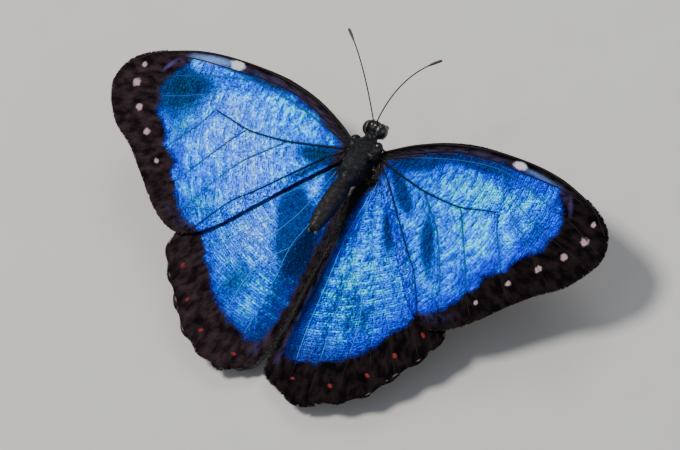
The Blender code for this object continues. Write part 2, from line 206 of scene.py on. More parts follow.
RED_DOTS = {
    ("hind", 1): ((25.1, -35.9, 0.64, 0.42, -60), (20.8, -42.3, 0.6, 0.4, -60),
        (15, -47.4, 0.62, 0.42, -20), (5.9, -49.7, 0.66, 0.4, 0)),
    ("hind", -1): ((25.8, -33.6, 0.66, 0.42, -40), (21.7, -39.4, 0.66, 0.42, -40),
        (17.4, -44.9, 0.72, 0.42, -20), (10.1, -49.3, 0.72, 0.42, -10), (1, -50.1, 0.5, 0.36, 0)),
}
# Rings on the underside: outward, forward, radius.
RINGS = {
    "fore": ((43.5, -4.4, 1.5), (38, -10.2, 2.2), (32.6, -17, 2.5)),
    "hind": ((16.5, -16, 2.9), (18.6, -31.5, 1.5), (15, -35.8, 1.9), (9.6, -38.6, 2.7)),
}


def columns(*parts):
    """Arrays or numbers side by side, as the last axis of one array."""
    return np.stack(np.broadcast_arrays(*parts), axis=-1)


def ramp(value, start, span):
    """0 up to start, 1 from start + span on, and a straight rise between."""
    return np.clip((value - start) / span, 0, 1)


def unit(vectors):
    """The same directions, each one long."""
    return vectors / np.maximum(np.linalg.norm(vectors, axis=-1, keepdims=True), 1e-12)


def scaled(amount, vectors):
    """Each vector times its own amount."""
    return np.asarray(amount)[:, None] * vectors


def quarter(flat):
    """Flat directions turned a quarter to the left."""
    return columns(-flat[:, 1], flat[:, 0])


def travel(path):
    """The distance run along a path, at each of its points."""
    return np.concatenate([[0.0], np.cumsum(np.linalg.norm(np.diff(path, axis=0), axis=1))])


def chosen(mask, *parts):
    """The masked rows of several arrays."""
    return [part[mask] for part in parts]


def place(points, side=1):
    """Turn (outward, forward, up) millimetres from the hinge line into frame metres."""
    points = np.asarray(points, float).reshape(-1, 3)
    turned = points * (side, -1.0, 1.0)
    turned[:, 1] -= HINGE_TO_CENTRE
    turned[:, 2] = np.maximum(turned[:, 2] + HINGE_HEIGHT, 0.005)
    return turned * MM


def smooth_path(rows, count):
    """A Catmull-Rom curve through the rows, read at evenly spaced row numbers."""
    rows = np.asarray(rows, float)
    where = np.linspace(0.0, len(rows) - 1.0, count)
    padded = np.vstack([2 * rows[0] - rows[1], rows, 2 * rows[-1] - rows[-2]])
    start = np.clip(np.floor(where).astype(int), 0, len(rows) - 2)
    t = (where - start)[..., None]
    a, b, c, d = (padded[start + k] for k in range(4))
    return 0.5 * (2 * b + (c - a) * t + (2 * a - 5 * b + 4 * c - d) * t**2
                  + (3 * b - 3 * c + d - a) * t**3)


def read(table, s):
    """Straight-line reading of a table at fractional rows."""
    low = np.clip(np.floor(s).astype(int), 0, len(table) - 2)
    part = (s - low)[..., None]
    return table[low] * (1 - part) + table[low + 1] * part


def spin(u, v, angle):
    """A flat pair turned to the left by an angle."""
    cos, sin = math.cos(angle), math.sin(angle)
    return u * cos - v * sin, u * sin + v * cos


def scallops(edge):
    """Shallow cosine waves along the outer margin of a hindwing, one to each vein."""
    run = travel(edge)
    outward = quarter(unit(np.gradient(edge, axis=0)))
    start = ramp(run, SCALLOP_START, SCALLOP_STEP)
    return scaled(SCALLOP * start * np.cos(run * TURN / SCALLOP_STEP), outward)


def segment_distance(points, path):
    """Least distance from each point to a path of straight stretches."""
    best = np.full(len(points), FAR)
    for a, b in zip(path[:-1], path[1:]):
        step = b - a
        t = np.clip(((points - a) @ step) / max(step @ step, 1e-12), 0, 1)
        best = np.minimum(best, np.linalg.norm(points - a - t[:, None] * step, axis=1))
    return best


def inside_distance(points, outline):
    """Signed distance to a closed outline, above 0 inside, by counting crossings."""
    outline = np.asarray(outline)
    closed = np.vstack([outline, outline[:1]])
    inside = np.zeros(len(points), bool)
    for a, b in zip(closed[:-1], closed[1:]):
        cross = (a[1] > points[:, 1]) != (b[1] > points[:, 1])
        rise = b[1] - a[1] if abs(b[1] - a[1]) > 1e-12 else 1e-12
        inside ^= cross & (points[:, 0] < a[0] + (points[:, 1] - a[1]) * (b[0] - a[0]) / rise)
    distance = segment_distance(points, closed)
    return np.where(inside, distance, -distance)


def oval_measure(points, marks):
    """Least distance to any mark, as a share of the mark's own radius, and 9 if far from all.
    A mark is a round spot (place, radius) or an oval (place, half length, half width, turn)."""
    best = np.full(len(points), 9.0)
    for u, v, radius, *oval in marks:
        wide, turn = oval or (radius, 0.0)
        along, over = spin(points[:, 0] - u, points[:, 1] - v, -math.radians(turn))
        best = np.minimum(best, np.hypot(along / radius, over / wide))
    return best


def patches(points, blobs):
    """The sum of soft oval patches, each its weight times e to the minus squared distance."""
    total = np.zeros(len(points))
    for u, v, half, wide, turn, weight in blobs:
        along, over = spin(points[:, 0] - u, points[:, 1] - v, -math.radians(turn))
        total += weight * np.exp(-((along / half) ** 2 + (over / wide) ** 2))
    return total


class Seats:
    """Places on a wing: here in millimetres, plane as flat (outward, forward), their vein
    distance, their inset from the hind edge, the surface directions u and v along flat outward
    and flat forward, and the normal."""

    def __init__(self, here, plane, veins, inset, u, v, normal):
        self.here, self.plane, self.veins, self.inset = here, plane, veins, inset
        self.u, self.v, self.normal = u, v, normal

    def only(self, mask):
        """The masked places."""
        return Seats(*chosen(mask, self.here, self.plane, self.veins, self.inset, self.u,
                             self.v, self.normal))

    def along(self, lead):
        """Surface directions from flat ones."""
        return unit(self.u * lead[:, :1] + self.v * lead[:, 1:])


class Wing:
    """One wing: its ribs, its surface, and the markings at any place on it. A place is given by
    s, its station in rows, and t, its share of the chord, or flat as (outward, forward)."""

    def __init__(self, kind, side):
        self.kind, self.side, self.key = kind, side, (kind, side)
        self.fore = kind == "fore"
        self.name = kind + "wing_" + SIDES[side]
        self.swing = 0.0 if self.fore else HINDWING_SWING
        self.centre = np.array(ARC_CENTRE[kind])
        self.rows = smooth_path(RIBS[kind], (len(RIBS[kind]) - 1) * RIB_STEPS + 1)
        self.last = len(self.rows) - 1.0
        self.veins = [(wide, dark, smooth_path(path, 6 * len(path)))
                      for wide, dark, path in VEINS[kind].values()]
        self.front, self.back = self.rows[:, :2], self.rows[:, 2:]
        self.trough = np.zeros(len(self.rows))
        self.bow = np.zeros(len(self.rows))
        if not self.fore:
            self.set_inner_edge()
        tip = self.flat(np.full(9, self.last), np.linspace(0.1, 0.9, 9))
        self.outline = np.vstack([self.front, tip, self.back[::-1]])

    def set_inner_edge(self):
        """The hindwings' inner edges follow one leaning seam, and the hind rib bows outward."""
        back = -self.rows[:, 3]
        self.trough = TROUGH_DEPTH * ramp(back / 12, 0.6, 1) * ramp(-back, -56, 16)
        sink = back * math.sin(WING_PITCH) + HINDWING_DROP + self.trough
        lean = math.tan(HINDWING_SWING) + SEAM_LEAN
        reach = HINGE_OUT - SEAM_HALF_GAP - self.side * lean * back
        reach = reach + sink * math.sin(WING_DIHEDRAL)
        self.back = columns(self.rows[:, 2] - reach, self.rows[:, 3])
        self.front = self.front + scallops(self.front)
        chord = np.linalg.norm(self.back - self.front, axis=1)
        self.bow = REAR_BOW * chord * np.clip(np.linspace(-5.0, 1.0, len(self.rows)), 0, 1)

    def flat(self, s, t):
        """(outward, forward) at station s and chord share t."""
        point = read(self.front, s) * (1 - t)[..., None] + read(self.back, s) * t[..., None]
        point[..., 1] -= read(self.bow[:, None], s)[..., 0] * 4 * t * (1 - t)
        return point

    def inset(self, plane, s):
        """How far a flat place lies outward of the wing's hind edge."""
        return plane[..., 0] - read(self.back, s)[..., 0]

    def sheet(self, s, t):
        """Flat place, vein distance and height of the middle surface: a sine camber, less the
        hindwing's trough, less folds that deepen away from the veins, plus a slow sway."""
        plane = self.flat(s, t)
        veins = self.vein_distance(plane.reshape(-1, 2)).reshape(s.shape)
        chord = np.linalg.norm(read(self.back - self.front, s), axis=-1)
        lift = CAMBER[self.kind] * chord * np.sin(math.pi * t)
        if not self.fore:
            trough = read(self.trough[:, None], s)[..., 0]
            lift = lift - trough * np.exp(-((self.inset(plane, s) / TROUGH_WIDTH) ** 2))
            lift = lift - HINDWING_DROP
        reach = np.hypot(plane[..., 0], plane[..., 1])
        fold = 0.15 * ramp(reach, 0, 14) * (1 - np.exp(-((veins / 1.4) ** 2)))
        sway = 0.10 * np.sin(plane[..., 0] * 0.33 + 1.2) * np.sin(plane[..., 1] * 0.27)
        return plane, veins, lift - fold + sway * ramp(reach, 0, 20)

    def spatial(self, plane, lift):
        """Flat places carried onto the wing's tilted plane: swung, pitched, then raised."""
        u, v = spin(plane[..., 0], plane[..., 1], -self.side * self.swing)
        forward, up = spin(v, lift, WING_PITCH)
        out, rise = spin(u, up, WING_DIHEDRAL)
        return columns(HINGE_OUT + out, forward, rise)

    def vein_distance(self, points):
        """Distance to the nearest vein, less the vein's half width."""
        best = np.full(len(points), FAR)
        for wide, _, path in self.veins:
            best = np.minimum(best, segment_distance(points, path[::2]) - wide * 0.5)
        return best

    def find(self, points):
        """Station and chord share of flat points, from the two ribs that each lies between.
        Three rounds take up the rear bow."""
        shift = np.zeros(len(points))
        across = self.back - self.front
        here = np.arange(len(points))
        for _ in range(3):
            moved = points + columns(0.0, shift)
            offset = moved[:, None, :] - self.front[None, :, :]
            cross = across[None, :, 0] * offset[:, :, 1] - across[None, :, 1] * offset[:, :, 0]
            share = (offset * across).sum(-1) / (across * across).sum(-1)
            near = (share[:, :-1] > -0.1) & (share[:, :-1] < 1.1)
            turn = ((cross[:, :-1] <= 0) != (cross[:, 1:] <= 0)) & near
            low = turn.argmax(axis=1)
            a, b = cross[here, low], cross[here, low + 1]
            s = low + np.clip(a / np.where(a == b, 1.0, a - b), 0, 1)
            line = read(across, s)
            t = ((moved - read(self.front, s)) * line).sum(1) / (line * line).sum(1)
            bow = read(self.bow[:, None], s)[:, 0]
            shift = bow * 4 * np.clip(t, 0, 1) * (1 - np.clip(t, 0, 1))
        return s, t, turn.any(axis=1) & (t > 0.0) & (t < 1.0)

    def seats(self, s, t):
        """The places at (s, t), with directions from small steps along s and t."""
        s = np.clip(s, 0.0, self.last)
        plane, veins, lift = self.sheet(s, t)
        plane_s, _, lift_s = self.sheet(s + np.where(s + 0.5 > self.last, -0.5, 0.5), t)
        plane_t, _, lift_t = self.sheet(s, t + np.where(t + 0.01 > 1, -0.01, 0.01))
        here = self.spatial(plane, lift)
        step_s = self.spatial(plane_s, lift_s) - here
        step_t = self.spatial(plane_t, lift_t) - here
        ds, dt = plane_s - plane, plane_t - plane
        area = ds[:, 0] * dt[:, 1] - ds[:, 1] * dt[:, 0]
        area = np.where(np.abs(area) < 1e-9, 1e-9, area)
        u = (step_s * dt[:, 1:] - step_t * ds[:, 1:]) / area[:, None]
        v = (step_t * ds[:, :1] - step_s * dt[:, :1]) / area[:, None]
        return Seats(here, plane, veins, self.inset(plane, s), unit(u), unit(v),
                     unit(np.cross(u, v)))


def broad_marks(wing, points, veins, grain):
    """The slowly varying measures that the wing's colours are drawn from, at flat points."""
    blue = inside_distance(points, BLUE[wing.kind])
    if not wing.fore:
        rear = np.argsort(wing.back[:, 1])
        inner = np.interp(points[:, 1], wing.back[rear, 1], wing.back[rear, 0])
        border = HIND_BORDER[wing.side] + 1.6 * ramp(-points[:, 1], 38, 8)
        blue = np.minimum(blue, points[:, 0] - inner - border)
    edge = inside_distance(points, wing.outline[::3])
    rings = oval_measure(points, RINGS[wing.kind])
    # The tone patches: painted reflection, painted sheen, and painted highlights and shade.
    tone = [patches(points, table[wing.key]) for table in (LAVENDER, TEAL, LIGHT_AND_SHADE_PATCHES)]
    return {"wing_mark": columns(blue, veins, edge),
            "wing_fact": columns(rings, grain, 0.5 + 0.5 * wing.side),
            "wing_tone": columns(*tone)}


def fine_marks(wing, points):
    """The measures that change within one scale: spots, place, and place in arcs about the
    wing's root. The hindwing's places are moved off so that its noise differs."""
    dots, flecks, red, gleam = (oval_measure(points, table.get(wing.key, ()))
                                for table in (PALE_DOTS, FLECKS, RED_DOTS, GLEAM))
    level = 0.0 if wing.fore else 60.0
    apart = points - wing.centre
    arc = np.arctan2(apart[:, 1], apart[:, 0]) * 24.0
    return {"wing_spot": columns(dots, flecks, red),
            "wing_place": columns(points[:, 0], points[:, 1], level),
            "wing_polar": columns(arc + level, np.hypot(apart[:, 0], apart[:, 1]), gleam)}


def pull(things, key, kind=np.float32, width=1):
    """One property of a mesh's parts as an array."""
    found = np.empty(len(things) * width, kind)
    things.foreach_get(key, found)
    return found


def show(obj):
    """Put an object into the scene."""
    bpy.context.scene.collection.objects.link(obj)
    return obj


def new_piece(name, points, faces, materials, smooth=True, fields=None, uv=None, slots=None):
    """Make a piece from whole arrays: points in metres, faces all of one size, one number or
    vector for each point in each field, and the place of each point in the map OFBake."""
    faces = np.ascontiguousarray(faces, np.int32)
    mesh = bpy.data.meshes.new(name)
    mesh.vertices.add(len(points))
    mesh.vertices.foreach_set("co", np.asarray(points, np.float32).ravel())
    mesh.loops.add(faces.size)
    mesh.loops.foreach_set("vertex_index", faces.ravel())
    mesh.polygons.add(len(faces))
    mesh.polygons.foreach_set("loop_start", np.arange(len(faces), dtype=np.int32) * faces.shape[1])
    mesh.update(calc_edges=True)
    mesh.polygons.foreach_set("use_smooth", np.full(len(faces), smooth))
    for material in materials:
        mesh.materials.append(material)
    if slots is not None:
        mesh.polygons.foreach_set("material_index", np.asarray(slots, np.int32))
    for key, values in (fields or {}).items():
        values = np.asarray(values, np.float32)
        kind, part = ("FLOAT", "value") if values.ndim == 1 else ("FLOAT_VECTOR", "vector")
        mesh.attributes.new(key, kind, "POINT").data.foreach_set(part, values.ravel())
    if uv is not None:
        layer = mesh.uv_layers.new(name="OFBake")
        corners = pull(mesh.loops, "vertex_index", np.int32)
        layer.data.foreach_set("uv", np.asarray(uv, np.float32)[corners].ravel())
    obj = show(bpy.data.objects.new(name, mesh))
    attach(obj, "root")
    return obj


def grid_faces(grid):
    """Quads between the neighbours of a net of vertex numbers."""
    return np.stack([grid[:-1, :-1], grid[:-1, 1:], grid[1:, 1:], grid[1:, :-1]],
                    axis=-1).reshape(-1, 4)


def round_grid(rows, sides):
    """A net of vertex numbers that closes on itself across its rows."""
    grid = np.arange(rows * sides).reshape(rows, sides)
    return np.concatenate([grid, grid[:, :1]], axis=1)


def repeated(faces, size, count, side):
    """The faces of one small thing repeated for each of a count, size points apart, and wound
    for the side it is on."""
    faces = (faces[None] + size * np.arange(count)[:, None, None]).reshape(-1, 3)
    return faces[:, ::-side]


def wing_uv(plane, under):
    """Flat wing coordinates laid out in one half of the unit square."""
    u = np.clip((plane[:, 0] + 9.0) / 70.0, 0.01, 0.99)
    v = np.clip((plane[:, 1] + 57.0) / 70.0, 0.01, 0.99)
    return columns(u, v * 0.49 + (0.505 if under else 0.0))


def add_wing_skin(wing, materials):
    """The membrane: the middle surface raised and lowered by half a thickness, which falls to
    nothing at the rim, where the two sheets share their points."""
    rows = len(wing.rows)
    s, t = np.meshgrid(np.arange(rows, dtype=float), np.linspace(0, 1, CHORD_STEPS + 1),
                       indexing="ij")
    plane, veins, lift = wing.sheet(s, t)
    rim = np.ones(s.shape, bool)
    rim[1:-1, 1:-1] = False
    half = np.where(rim, 0.0, SKIN_HALF)
    inner = ~rim.ravel()
    upper = np.arange(s.size).reshape(s.shape)
    lower = upper.copy()
    lower[~rim] = s.size + np.arange(inner.sum())
    top = wing.spatial(plane, lift + half).reshape(-1, 3)
    low = wing.spatial(plane, lift - half).reshape(-1, 3)[inner]
    plane, veins = plane.reshape(-1, 2), veins.ravel()
    flat = np.vstack([plane, plane[inner]])
    veins = np.concatenate([veins, veins[inner]])
    fields = {**broad_marks(wing, flat, veins, 0.5), **fine_marks(wing, flat)}
    upper, lower = grid_faces(upper)[:, ::-wing.side], grid_faces(lower)[:, ::wing.side]
    obj = new_piece(wing.name + "_skin", place(np.vstack([top, low]), wing.side),
                    np.vstack([upper, lower]), materials, fields=fields,
                    uv=np.vstack([wing_uv(plane, False), wing_uv(plane[inner], True)]),
                    slots=np.repeat([0, 1], [len(upper), len(lower)]))
    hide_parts(wing.name)


def add_veins(wing, material):
    """Each vein is a tapering tube along its path, oval in section and half sunk in the
    membrane. The last number of vein_tone is 1 on the upper half and 0 on the lower."""
    points, faces, fields = [], [], []
    start, sides = 0, 8
    angle = np.arange(sides) * TURN / sides
    for wide, dark, path in wing.veins:
        run = travel(path)
        even = np.linspace(0, run[-1], max(6, int(run[-1] / 0.5)))
        track = columns(*[np.interp(even, run, path[:, k]) for k in (0, 1)])
        s, t, found = wing.find(track)
        s, t, track = chosen(found, s, np.clip(t, 0.004, 0.996), track)
        if len(s) < 4:
            continue
        seats = wing.seats(s, t)
        across = unit(np.cross(seats.normal, unit(np.gradient(seats.here, axis=0))))
        radius = np.linspace(wide * 0.62 + 0.04, wide * 0.26 + 0.05, len(s))
        radius = radius * (0.8 + 0.35 * dark)
        radius[0] *= 0.3
        radius[-1] *= 0.2
        ring = seats.here[:, None] + radius[:, None, None] * (
            across[:, None] * np.cos(angle)[:, None]
            + seats.normal[:, None] * (1.45 * np.sin(angle))[:, None])
        faces.append(grid_faces(start + round_grid(len(s), sides)))
        points.append(ring.reshape(-1, 3))
        blue = broad_marks(wing, track, 0.0, 0.0)["wing_mark"][:, 0]
        upper = np.tile((np.sin(angle) > -0.1) * 1.0, len(s))
        fields.append(columns(np.repeat(blue, sides), dark, upper))
        start += len(upper)
    obj = new_piece(wing.name + "_veins", place(np.vstack(points), wing.side),
                    np.vstack(faces)[:, ::-wing.side], [material],
                    fields={"vein_tone": np.vstack(fields)})


SCALE_FACES = np.array([(0, 1, 3), (0, 3, 2), (2, 3, 5), (2, 5, 4), (0, 4, 5), (0, 5, 1),
                        (0, 2, 4), (1, 5, 3)])
# The corners of a scale: share of its width, share of its length, row of its height.
SCALE_CORNERS = ((-0.32, 0, 0), (0.32, 0, 0), (-0.5, 0.55, 1), (0.5, 0.55, 1), (-0.34, 1, 2),
                 (0.34, 1, 2))


def add_vanes(name, wing, seats, lead, size, sink, grain, under, material):
    """Scales: each a closed wedge of six points, a narrow root, a broad middle and a blunt tip,
    with the middle bowed above the flat line from root to tip."""
    length, width, rise = size
    forward = seats.along(lead)
    across = unit(np.cross(forward, seats.normal))
    beside = quarter(lead) * (1 if under else -1)
    heights = (np.full(len(rise), -sink), rise * 0.62 + 0.028, rise)
    points, plane, patch = [], [], []
    for wide, far, row in SCALE_CORNERS:
        points.append(seats.here + scaled(wide * width, across) + scaled(far * length, forward)
                      + scaled(heights[row], seats.normal))
        plane.append(seats.plane + scaled(wide * width, beside) + scaled(far * length, lead))
        patch.append((wide, far - 0.5))
    plane = np.stack(plane, axis=1).reshape(-1, 2)
    uv = (wing_uv(seats.plane, False)[:, None, :] + np.array(patch) * PATCH).reshape(-1, 2)
    fields = {key: np.repeat(value, len(SCALE_CORNERS), axis=0)
              for key, value in broad_marks(wing, seats.plane, seats.veins, grain).items()}
    obj = new_piece(name, place(np.stack(points, axis=1), wing.side),
                    repeated(SCALE_FACES, len(SCALE_CORNERS), len(rise), wing.side), [material],
                    False, {**fields, **fine_marks(wing, plane)}, uv)


def add_scales(wing, under, material, seed):
    """Rows of scales in arcs about the wing's root, each row lapping over the next one out,
    with every scale's tip pointing away from the root. They leave the veins bare."""
    dice = np.random.default_rng(seed)
    radii = np.arange(2.0, np.hypot(*(wing.outline - wing.centre).T).max(), ROW_PITCH)
    angles = [np.arange(0, TURN, SCALE_PITCH / r) + dice.uniform(0, 1) for r in radii]
    radius = np.repeat(radii, [len(a) for a in angles])
    angle = np.concatenate(angles)
    radius = radius + dice.normal(0, 0.05, len(radius))
    points = wing.centre + scaled(radius, columns(np.cos(angle), np.sin(angle)))
    low, high = wing.outline.min(0), wing.outline.max(0)
    s, t, found = wing.find(points[((points > low) & (points < high)).all(axis=1)])
    seats = wing.seats(*chosen(found, s, t))
    edge = inside_distance(seats.plane, wing.outline[::2])
    keep = (edge > 0.12) & (seats.veins > 0.10)
    seats, edge = seats.only(keep), edge[keep]
    if under:
        seats.normal = -seats.normal
    seats.here = seats.here + seats.normal * (SKIN_HALF - 0.01)
    count = len(seats.here)
    lead = unit(seats.plane - wing.centre)
    lead = unit(lead + scaled(dice.normal(0, 0.10, count), quarter(lead)))
    size = (np.minimum(dice.uniform(0.64, 0.84, count), edge + 0.25),
            dice.uniform(0.28, 0.38, count), dice.uniform(0.015, 0.085, count))
    add_vanes(wing.name + ("_scales_under" if under else "_scales_upper"), wing, seats, lead,
              size, 0.05, dice.uniform(0, 1, count), under, material)


def add_fringe(wing, material, seed):
    """Short overlapping scales along the wing's outer margin: out along the leading edge, over
    the tip and back along the hind edge."""
    dice = np.random.default_rng(seed)
    first, last = (0.62, 0.62) if wing.fore else (0.26, 0.66)
    track = [(np.linspace(first * wing.last, wing.last, 1500), np.full(1500, 0.004)),
             (np.full(300, wing.last - 0.02), np.linspace(0.01, 0.99, 300)),
             (np.linspace(wing.last, last * wing.last, 1100), np.full(1100, 0.996))]
    s, t = (np.concatenate(part) for part in zip(*track))
    plane = wing.flat(s, t)
    run = travel(plane)
    pick = np.sort(dice.uniform(0, run[-1], int(run[-1] / FRINGE_PITCH)))
    s, t = np.interp(pick, run, s), np.interp(pick, run, t)
    tangent = columns(*[np.interp(pick, run, np.gradient(plane[:, k])) for k in (0, 1)])
    seats, count = wing.seats(s, t), len(s)
    lead = unit(unit(quarter(tangent)) + dice.normal(0, 0.10, (count, 2)))
    seats.here = seats.here + scaled(dice.uniform(-0.05, 0.05, count), seats.normal)
    grain = dice.uniform(0, 1, count)
    size = (dice.uniform(0.26, 0.46, count), dice.uniform(0.12, 0.20, count),
            dice.uniform(-0.03, 0.03, count))
    add_vanes(wing.name + "_fringe", wing, seats, lead, size, 0.0, grain, False, material)


HEAD_CENTRE, HEAD_RADII = (0.0, 4.9, 1.6), (1.75, 1.62, 1.78)
FACE_CENTRE, FACE_RADII = (0.0, 6.1, 0.9), (0.78, 0.62, 1.05)
EYE_CENTRE, EYE_RADII = (1.38, 4.75, 1.55), (1.52, 1.70, 1.78)
FEELER_SOCKET = ((0.42, 5.68, 3.05), (0.34, 0.36, 0.40))
# The swellings where a wing joins the body, and the shoulder plate over the forewing's.
WING_SOCKETS = (((3.0, -0.6, -0.10), (1.2, 1.5, 0.50)), ((3.3, -3.8, -1.75), (1.3, 1.2, 0.50)),
                ((2.75, 0.5, 1.75), (1.35, 1.75, 0.85)))
ANTENNA_ROOT = (0.40, 5.72, 3.30)
ANTENNA_REACH = (11.32, 14.13, 9.05)
ANTENNA_BOW = (-0.8, 0.6, 2.3)
ANTENNA_RINGS = 42
CLASPER = ((0.50, -20.9, 2.5), (0.74, -21.3, 2.5), (0.78, -21.7, 2.45), (0.66, -22.05, 2.35))
VOXEL = 0.12
RIM_HAIRS = 260
ROOT_HAIRS = 5200
INNER_HAIRS = 3000
WAIST = -8.4
# Rings of the body from the tail to the neck: forward, centre height, half width, half height.
BODY_RINGS = ((-21.5, 2.7, 0.35, 0.4), (-21.1, 2.7, 0.98, 1), (-19.6, 2.6, 1.48, 1.58),
    (-17, 2.4, 1.85, 1.95), (-13.5, 2, 2.08, 2.12), (-10.2, 1.5, 1.92, 2.02),
    (-8.6, 1.25, 1.55, 1.75), (-7.6, 1.05, 1.85, 2.15), (-6.2, 0.75, 2.4, 2.95),
    (-3.4, 0.45, 2.7, 3.45), (-0.6, 0.6, 2.62, 3.2), (1.4, 1, 2.2, 2.4), (2.5, 1.2, 1.45, 1.5),
    (3.6, 1.4, 1.35, 1.4))
MIDLEG = ((1.7, -2.2, -4), (2.6, -1.9, -4.8), (7.4, 0.2, -3.6), (11.4, 1.4, -12),
    (12.2, 1.7, -12.8), (15.2, 2.9, -12.8))
HINDLEG = ((1.6, -5.6, -3.6), (2.4, -6.3, -4.7), (6.2, -10, -5), (8.3, -17.4, -12),
    (8.5, -18.2, -12.8), (9.6, -21.8, -12.8))
FORELEG = ((1.3, 0.2, -3.45), (1.7, 1.5, -4.1), (1.8, 2.6, -3.65), (1.4, 2.9, -2.7))
PALP = ((0.85, 5.9, -1.2), (1, 6.85, -0.9), (0.9, 7, -0.35), (0.8, 6.8, 0.15))
# Pale spots of the head and collar: outward, forward, up, radius.
PALE_SPOTS = ((0.42, 5, 3.2, 0.2), (0.95, 3.75, 2.95, 0.2), (1.15, 3, 2.4, 0.24),
    (0.5, 2.4, 2.8, 0.22), (1.75, 1.5, 2.7, 0.22), (1.1, 6.05, 0.6, 0.24), (1.3, 3.2, 0.2, 0.28),
    (2.9, 1.1, 2.3, 0.28), (3.1, -1, 1.4, 0.26))
LEG_RADII = (0.60, 0.52, 0.34, 0.23, 0.22, 0.20)
# Every fleshy limb: its path, its half thickness along it, and how many points it is read at.
LIMBS = {"midleg": (MIDLEG, LEG_RADII, 60), "hindleg": (HINDLEG, LEG_RADII, 60),
         "foreleg": (FORELEG, (0.50, 0.42, 0.33, 0.22), 30),
         "palp": (PALP, (0.28, 0.34, 0.30, 0.18), 30)}
WALKING_LEGS = ("midleg", "hindleg")


def capped(points, grid, ends, way=1):
    """Close a tube's net with a fan at each end, wound the other way where way is -1. Returns
    its points and triangles."""
    first = grid.max() + 1
    fans = np.vstack([columns(first, grid[0, 1:], grid[0, :-1]),
                      columns(first + 1, grid[-1, :-1], grid[-1, 1:])])[:, ::way]
    quads = grid_faces(grid)[:, ::way]
    return np.vstack([points, ends]), np.vstack([quads[:, [0, 1, 2]], quads[:, [0, 2, 3]], fans])


def tube(path, wide, high, sides, upright=(0.21, 0.0, 1.0)):
    """A closed tube along a path: rings of the given half widths across it."""
    path = np.asarray(path, float)
    along = unit(np.gradient(path, axis=0))
    across = unit(np.cross(np.broadcast_to(upright, along.shape), along))
    above = np.cross(along, across)
    angle = np.arange(sides) * TURN / sides
    ring = (path[:, None] + np.cos(angle)[None, :, None] * scaled(wide, across)[:, None]
            + np.sin(angle)[None, :, None] * scaled(high, above)[:, None])
    return capped(ring.reshape(-1, 3), round_grid(len(path), sides), path[[0, -1]])


def ball(centre, radii, rows, cols, inner=1.0):
    """A closed ellipsoid with its poles on the outward axis; inner flattens its inward half."""
    turn, around = np.meshgrid(np.linspace(0, math.pi, rows + 1)[1:-1],
                               np.arange(cols) * TURN / cols, indexing="ij")
    away = np.cos(turn) * np.where(np.cos(turn) < 0, inner, 1.0)
    net = columns(away, np.sin(turn) * np.cos(around), np.sin(turn) * np.sin(around))
    points, faces = capped(net.reshape(-1, 3), round_grid(rows - 1, cols),
                           ((1, 0, 0), (-inner, 0, 0)), -1)
    return points * radii + centre, faces


def joined(shapes):
    """Several (points, faces) made one, with the face numbers moved along."""
    starts = np.cumsum([0] + [len(points) for points, _ in shapes[:-1]])
    return (np.vstack([points for points, _ in shapes]),
            np.vstack([faces + start for (_, faces), start in zip(shapes, starts)]))


def mirrored(shape, side):
    """The shape for the left side as it is, or turned over for the right side."""
    points, faces = shape
    return (points, faces) if side > 0 else (points * (-1, 1, 1), faces[:, ::-1])


def add_shape(name, shape, material, share=None):
    """A piece from a closed shape, its triangles turned over because place() mirrors it, with
    its share of the limb's length at each point where the material asks for it."""
    points, faces = shape
    fields = None if share is None else {"limb_share": np.broadcast_to(share, len(points))}
    return new_piece(name, place(points), faces[:, ::-1], [material], fields=fields)


def limb_line(name):
    """A limb's smooth path and half thickness on the left side: read along the table, swollen
    at the knee and ankle, and ringed at the toes of a walking leg."""
    path, radii, steps = LIMBS[name]
    thick = np.interp(np.linspace(0, len(radii) - 1, steps), range(len(radii)), radii)
    if name in WALKING_LEGS:
        share = np.linspace(0, 5, steps)
        thick = thick * (1 + 0.20 * np.exp(-(((share - 1.7) / 0.55) ** 2)))
        thick = thick * (1 + 0.14 * np.exp(-(((share - 3.0) / 0.12) ** 2)))
        thick = thick * (1 + 0.12 * np.clip(share - 3.9, 0, 1) * np.cos((share - 4) * 5 * TURN))
    thick[-1] *= 0.75
    return smooth_path(path, steps), thick


def trunk_shape():
    """The trunk: rings read along the smooth table, pinched a little between the segments of
    the abdomen."""
    forward, height, wide, high = smooth_path(BODY_RINGS, 150).T
    tail = np.clip(-9.0 - forward, 0, 1)
    pinch = 1 + 0.028 * tail * np.cos((forward + 9.0) * TURN / 1.72)
    return columns(0.0, forward, height), wide * pinch, high * pinch


def body_parts():
    """All the closed forms that the skin is fused from, in (outward, forward, up) mm."""
    shapes = [tube(*trunk_shape(), 40), ball(HEAD_CENTRE, HEAD_RADII, 24, 32),
              ball(FACE_CENTRE, FACE_RADII, 16, 20)]
    for side in SIDES:
        for name in LIMBS:
            line, thick = limb_line(name)
            shapes.append(mirrored(tube(line, thick, thick, 14, (0.3, 0.2, 1.0)), side))
        for centre, radii in WING_SOCKETS:
            shapes.append(mirrored(ball(centre, radii, 14, 20), side))
        shapes.append(mirrored(ball(*FEELER_SOCKET, 10, 14), side))
    return joined(shapes)


